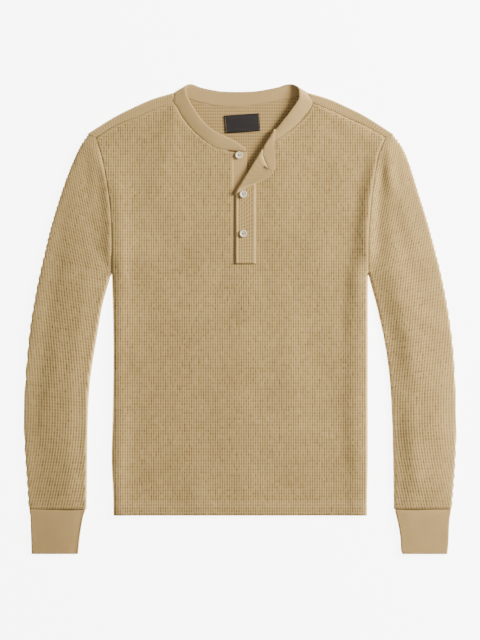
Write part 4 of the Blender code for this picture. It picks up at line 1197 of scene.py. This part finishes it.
def make_neckband():
    """Sections of the folded rib round the neck, then its end in the turned corner."""
    sections = BAND_FRONT_LEFT + BAND_TURN_LEFT + BAND_BACK + BAND_TURN_RIGHT + BAND_FRONT_RIGHT
    data = np.array(sections, float)
    middles = (data[:, :3] + data[:, 3:]) / 2
    lengths = path_lengths(middles)
    at = np.arange(0.0, lengths[-1], 1.5)
    dense = np.stack([smooth(lengths, data[:, k], at) for k in range(6)], axis=1)
    shares = np.array([0.0, 0.06, 0.2, 0.35, 0.5, 0.65, 0.8, 0.94, 1.0])  # across the band
    turn_end = float(lengths[len(BAND_FRONT_LEFT) - 1])
    turn_again = float(lengths[len(BAND_FRONT_LEFT + BAND_TURN_LEFT + BAND_BACK + BAND_TURN_RIGHT)])
    puff = 0.5 * (1 - ramp(at, turn_end - 20, turn_end) + ramp(at, turn_again, turn_again + 20))
    seam, edge = dense[:, :3].copy(), dense[:, 3:]
    out = edge[:, :2] - seam[:, :2]
    seam[:, :2] += out / np.linalg.norm(out, axis=1)[:, None] * SEAM
    rows = seam[:, None, :] + (edge - seam)[:, None, :] * shares[None, :, None]
    rows[:, :, 2] += puff[:, None] * np.sin(math.pi * shares)[None, :]
    s = past_fold_steps()
    seam_x, seam_y = corner_line(CORNER_SEAM, s)
    edge_x, edge_y = corner_line(CORNER_EDGE, s)
    seam_x, seam_y = seam_x + SEAM * FOLD_ALONG[0], seam_y + SEAM * FOLD_ALONG[1]
    flat_x = seam_x[:, None] + (edge_x - seam_x)[:, None] * shares[None, :]
    flat_y = seam_y[:, None] + (edge_y - seam_y)[:, None] * shares[None, :]
    middle = np.concatenate((rows, turned(flat_x, flat_y, TURNED_LIFT)))
    raised = np.zeros(middle.shape[:2])
    raised[1::2] = -BAND_FURROW
    thickness = np.full(middle.shape[:2], RIB)
    thickness[:, 0], thickness[:, -1] = 0.6 * RIB, 0.55 * RIB
    part = grid(middle, thickness, flip=True, raised=raised)
    piece = add_piece("neckband_cloth", [part], RIBBED)
    dress(piece, ["neckband"])


def make_upper_placket():
    """The buttonhole side, and its top corner turned back. Its pits are points pushed in, with
    painted shade by their depth.
    """
    columns = np.linspace(0, 1, 17)
    lefts, rights = [], []
    for row in PLACKET_ROWS:
        lefts.append((PLACKET_LEFT, row.left_y))
        rights.append((row.right_x, row.right_y))
    turned_rows = past_fold_steps()
    for s in turned_rows:
        left_y = FOLD_FOOT[1] + (s - (PLACKET_LEFT - FOLD_FOOT[0]) * FOLD_OUT[0]) / FOLD_OUT[1]
        x, y = corner_line(CORNER_SEAM, s)
        lefts.append((PLACKET_LEFT, left_y))
        rights.append((float(x), float(y)))
    heights = np.array([p[1] for p in lefts])
    first_turned = heights[len(PLACKET_ROWS)]
    below = np.arange(heights[0], first_turned - 0.5, 1.25)
    at = np.concatenate((below, heights[len(PLACKET_ROWS) :]))
    left = np.stack([np.interp(at, heights, [p[k] for p in lefts]) for k in (0, 1)], axis=1)
    right = np.stack([np.interp(at, heights, [p[k] for p in rights]) for k in (0, 1)], axis=1)
    flat = left[:, None, :] + (right - left)[:, None, :] * columns[None, :, None]
    middle = turned(flat[:, :, 0], flat[:, :, 1], TURNED_LIFT)
    raised = np.zeros(middle.shape[:2])
    flat_rows = len(at) - len(turned_rows)
    for k, share in ((0, 0.45), (1, 0.8), (2, 1.0), (3, 0.8)):
        raised[k:flat_rows:4, 3:-3:2] = -share * PIT_DEPTH
    # Painted shade on the turned corner's face: some all over, and more in every second column, as
    # shade in rib furrows that the geometry lacks.
    tone = np.zeros(middle.shape[:2])
    tone[flat_rows + FACETS :, 2:-2] = 0.26
    tone[flat_rows + FACETS :, 3:-3:2] = 0.42
    thickness = np.full(middle.shape[:2], KNIT)
    thickness[:, 0] = thickness[:, -1] = 0.5 * KNIT
    thickness[0] = 0.5 * KNIT
    part = grid(middle, thickness, raised=raised, tone=tone)
    piece = add_piece("placket_upper_cloth", [part], WAFFLE)
    dress(piece, ["placket_upper"])


def make_under_placket():
    """The button side, behind the slit in the front."""
    ys = np.arange(SLOT_Y + 0.3, UNDER_TOP, 1.5)
    half = SLOT_HALF - SEAM
    xs = np.linspace(-half, half, 33)
    x, y = np.meshgrid(xs, ys)
    height = front_height(x, y)
    start = fold_line_y(SLOT_HALF)
    rise = BAND_FRONT_LEFT[2].seam_z - front_height(x, np.full_like(x, UNDER_TOP))
    height = height + np.where(y > start, rise * ((y - start) / (UNDER_TOP - start)) ** 2, 0.0)
    middle = np.stack((x, y, height), axis=-1)
    raised = np.zeros(middle.shape[:2])
    raised[:, 1::2] = -UNDER_FURROW
    piece = add_piece("placket_under_cloth", [grid(middle, FACING, raised=raised)], RIBBED)
    dress(piece, ["placket_under"])


def on_label(x, y):
    """Where a point of the label lies, given from the label's middle."""
    px = LABEL_CENTRE[0] + x * math.cos(LABEL_TURN) - y * math.sin(LABEL_TURN)
    py = LABEL_CENTRE[1] + x * math.sin(LABEL_TURN) + y * math.cos(LABEL_TURN)
    return px, py


def make_label():
    """The bare neck label, bowed between its sewn ends."""
    across, along = np.linspace(-0.5, 0.5, 61), np.linspace(-0.5, 0.5, 31)
    u, v = np.meshgrid(across, along)
    px, py = on_label(u * LABEL_SIZE[0], v * LABEL_SIZE[1])
    bow = LABEL_BOW * np.sqrt(np.maximum(np.cos(math.pi * u), 0.0)) + 0.08 * np.sin(v * 9 + u * 4)
    middle = np.stack((px, py, KNIT + GAP + LABEL_CLOTH / 2 + bow), axis=-1)
    thickness = np.full(u.shape, LABEL_CLOTH)
    thickness[0] = thickness[-1] = thickness[:, 0] = thickness[:, -1] = 0.4 * LABEL_CLOTH
    raised = np.zeros(u.shape)
    raised[::2, 1::2] = raised[1::2, ::2] = 0.05
    piece = add_piece("label_woven", [grid(middle, thickness, raised=raised)], LABEL)
    dress(piece, ["label"])


# ---- sewing -------------------------------------------------------------------------------------
Stitch = namedtuple("Stitch", "pitch length width lift")
HEM_STITCH = Stitch(3.1, 2.3, 0.7, 0.35)
PLACKET_STITCH = Stitch(2.8, 2.0, 0.6, 0.2)
LABEL_STITCH = Stitch(2.4, 1.7, 0.4, 0.1)
HOLE_STITCH = Stitch(0.8, 0.8, 0.8, 0.2)
BUTTON_STITCH = Stitch(3.2, 3.2, 0.45, 0.3)
SEWN_BESIDE = 2.4  # the neck's stitches run this far from its seam
HOLE_HALF_WIDTH, HOLE_RIM = 1.1, 0.9  # of the slit, and the thread round it


def stitches(paths, kind):
    """Short raised threads along paths of (x, y, z) points, all as one Part."""
    points, faces, uv = [], [], []
    pitch, length, width, lift = kind
    for path in paths:
        path = np.asarray(path, float)
        lengths = path_lengths(path)
        for at in np.arange(pitch / 2, lengths[-1] - pitch / 4, pitch):
            reach = (at - length / 2, at + length / 2)
            ends = np.stack([np.interp(reach, lengths, column) for column in path.T], axis=1)
            d = ends[1] - ends[0]
            d /= max(np.linalg.norm(d), 1e-6)
            side = np.array([-d[1], d[0], 0.0])
            side /= max(np.linalg.norm(side), 1e-6)
            up = np.cross(d, side)
            base = len(points)
            points.append(ends[0])
            for share, size in ((0.15, 0.7), (0.5, 1.0), (0.85, 0.7)):
                centre = mix(ends[0], ends[1], share) + up * lift * size
                for turn in np.arange(6) * math.pi / 3:
                    out = side * math.cos(turn) + up * math.sin(turn)
                    points.append(centre + width / 2 * size * out)
            points.append(ends[1])
            uv += [(at, 0.0)] * 20
            for k in range(6):
                after = (k + 1) % 6
                faces.append((base, base + 1 + after, base + 1 + k))
                for ring in (0, 1):
                    low, high = base + 1 + 6 * ring, base + 7 + 6 * ring
                    faces.append((low + k, low + after, high + after, high + k))
                faces.append((base + 13 + k, base + 13 + after, base + 19))
    return Part(np.array(points), faces, np.zeros(len(points)), np.array(uv) * KNIT_UNIT)


def on_front(points):
    """Points (x, y) on the front's outer face."""
    points = np.asarray(points, float)
    middle = front_middle(points[:, 0], points[:, 1])
    middle[:, 2] += KNIT / 2
    return middle


def line(start, end, step=4.0):
    """Points on a straight line, about a step apart."""
    count = max(2, int(math.hypot(end[0] - start[0], end[1] - start[1]) / step) + 1)
    return np.stack([np.linspace(a, b, count) for a, b in zip(start, end)], axis=1)


def make_stitches():
    """The sewing of the hem, the placket, the front neck seams and the label."""
    seam_y = HEM_Y + HEM_DEPTH
    hem = [on_front(line((-210, y), (210, y))) for y in (seam_y - 0.2, seam_y - 5.2)]
    parts = [stitches(hem, HEM_STITCH)]

    box, face = [], TURNED_LIFT + KNIT / 2
    left, right = PLACKET_LEFT + 2.2, 23.8
    for x, top in ((left, 196.0), (right, 246.0)):
        box.append(turned(*line((x, 95.0), (x, top)).T, face))
    for y in (95.2, 109.5):
        box.append(turned(*line((left, y), (right, y), 2.0).T, face))
    parts.append(stitches(box, PLACKET_STITCH))

    for sections, count in ((BAND_FRONT_LEFT[2:], 90), (BAND_FRONT_RIGHT, 60)):
        curve = along_lines([(b.seam_x, b.seam_y) for b in sections], count)
        away = along_lines([(b.seam_x - b.edge_x, b.seam_y - b.edge_y) for b in sections], count)
        away /= np.linalg.norm(away, axis=1)[:, None]
        parts.append(stitches([on_front(curve + away * SEWN_BESIDE)], PLACKET_STITCH))
    half_x, half_y = LABEL_SIZE[0] / 2 - 1.5, LABEL_SIZE[1] / 2 - 1.5
    ys = np.linspace(-half_y, half_y, 12)
    for end in (-1, 1):
        px, py = on_label(end * half_x, ys)
        parts.append(stitches([np.column_stack((px, py, np.full(12, 3.35)))], LABEL_STITCH))
    piece = add_piece("stitches", parts, THREAD)
    dress(piece, [])


def make_buttonhole():
    """The worked hole in the turned corner: a dark sheet of painted shadow in the slit, with thread
    round it.
    """
    centre, half, along = np.array(HOLE_CENTRE), HOLE_LENGTH / 2, np.array(HOLE_ALONG)
    across = np.array([-along[1], along[0]])
    turns = np.linspace(0, 2 * math.pi, 25)[:-1]
    low, wide = np.outer(np.cos(turns) * half, along), np.sin(turns) * HOLE_HALF_WIDTH
    rim = centre + low + np.outer(wide, across)
    top = float(turned_top(centre[None, :])[0])
    # A dark sheet just above the cloth: painted shadow in the buttonhole's opening.
    slit = np.column_stack((rim, np.full(len(rim), top + 0.12)))
    flat = np.concatenate((slit, slit - (0, 0, 0.3)))
    count = len(rim)
    faces = [tuple(range(count)), tuple(range(2 * count - 1, count - 1, -1))]
    faces += [((k + 1) % count, k, k + count, (k + 1) % count + count) for k in range(count)]
    hole = Part(flat, faces, np.zeros(2 * count), flat[:, :2] * KNIT_UNIT)
    dress(add_piece("buttonhole_shadow", [hole], SHADOW), [])
    wide, long = HOLE_HALF_WIDTH + HOLE_RIM, half + HOLE_RIM
    rim = centre + np.outer(np.cos(turns) * long, along) + np.outer(np.sin(turns) * wide, across)
    loop = np.column_stack((rim, np.full(count, top + 0.15)))
    thread = stitches([np.concatenate((loop, loop[:1]))], HOLE_STITCH)
    dress(add_piece("buttonhole_thread", [thread], THREAD), [])


def turned_top(points):
    """The height of the turned corner's upper face at points (x, y)."""
    height = front_height(points[:, 0], points[:, 1])
    return height + TURNED_LIFT + 2 * FOLD_RADIUS + KNIT / 2


def button_threads():
    """Two crossed threads over the holes of each button."""
    parts = []
    for number, (x, y) in enumerate(BUTTONS, 1):
        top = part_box(f"button_{number}")[1][2] / MM - 0.75
        for turn in (math.pi / 4, 3 * math.pi / 4):
            dx, dy = 1.6 * math.cos(turn), 1.6 * math.sin(turn)
            for shift in (-0.25, 0.25):
                ox, oy = -shift * math.sin(turn), shift * math.cos(turn)
                path = [(x - dx + ox, y - dy + oy, top), (x + dx + ox, y + dy + oy, top)]
                parts.append(stitches([path], BUTTON_STITCH))
    piece = add_piece("button_threads", parts, THREAD)
    dress(piece, [])


# ---- floor, light and camera, in metres ----------------------------------------------------------
FLOOR_SIZE, FLOOR_DROP = 6.0, 0.0004
WORLD_LIGHT = 0.44
KEY_PLACE, KEY_SIZE, KEY_POWER = (2.7, 1.1, 1.28), 1.0, 335.0
KEY_COLOUR = (1.0, 0.985, 0.96)
CAMERA_PLACE = (-0.34 * MM, -1.69 * MM, 4.0)
SENSOR, FRAME_HEIGHT, PIXEL = 36.0, 640, 1.69  # mm, pixels, and mm of the garment in a pixel


def make_floor():
    """The pale paper that the garment lies on, just below it."""
    mesh = bpy.data.meshes.new("floor")
    size = FLOOR_SIZE
    corners = [(-size, -size, 0), (size, -size, 0), (size, size, 0), (-size, size, 0)]
    mesh.from_pydata(corners, [], [(0, 1, 2, 3)])
    mesh.materials.append(floor_look())
    floor = bpy.data.objects.new("floor", mesh)
    floor.location.z = -FLOOR_DROP
    bpy.context.scene.collection.objects.link(floor)


def area_light(name, place, size, power, colour):
    light = bpy.data.lights.new(name, "AREA")
    light.shape = "SQUARE"
    light.size = size
    light.energy = power
    light.color = colour
    made = bpy.data.objects.new(name, light)
    made.location = place
    direction = np.array(place) / np.linalg.norm(place)
    made.rotation_euler = (math.acos(direction[2]), 0.0, math.atan2(direction[0], -direction[1]))
    bpy.context.scene.collection.objects.link(made)


def make_light_and_camera():
    world = bpy.data.worlds.new("studio")
    world.use_nodes = True
    world.node_tree.nodes["Background"].inputs["Color"].default_value = (1.0, 1.0, 1.0, 1.0)
    world.node_tree.nodes["Background"].inputs["Strength"].default_value = WORLD_LIGHT
    bpy.context.scene.world = world
    area_light("key", KEY_PLACE, KEY_SIZE, KEY_POWER, KEY_COLOUR)
    camera = bpy.data.cameras.new("camera")
    camera.lens = SENSOR * CAMERA_PLACE[2] / (FRAME_HEIGHT * PIXEL * MM)
    made = bpy.data.objects.new("camera", camera)
    made.location = CAMERA_PLACE
    bpy.context.scene.collection.objects.link(made)
    bpy.context.scene.camera = made


make_back()
make_front()
for side in SIDES:
    make_sleeve(side)
    make_cuff(side)
make_neckband()
make_upper_placket()
make_under_placket()
make_label()
make_stitches()
make_buttonhole()
button_threads()
for number in (1, 2, 3):
    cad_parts[f"button_{number}"].material_slots[0].material = PEARL
make_floor()
make_light_and_camera()
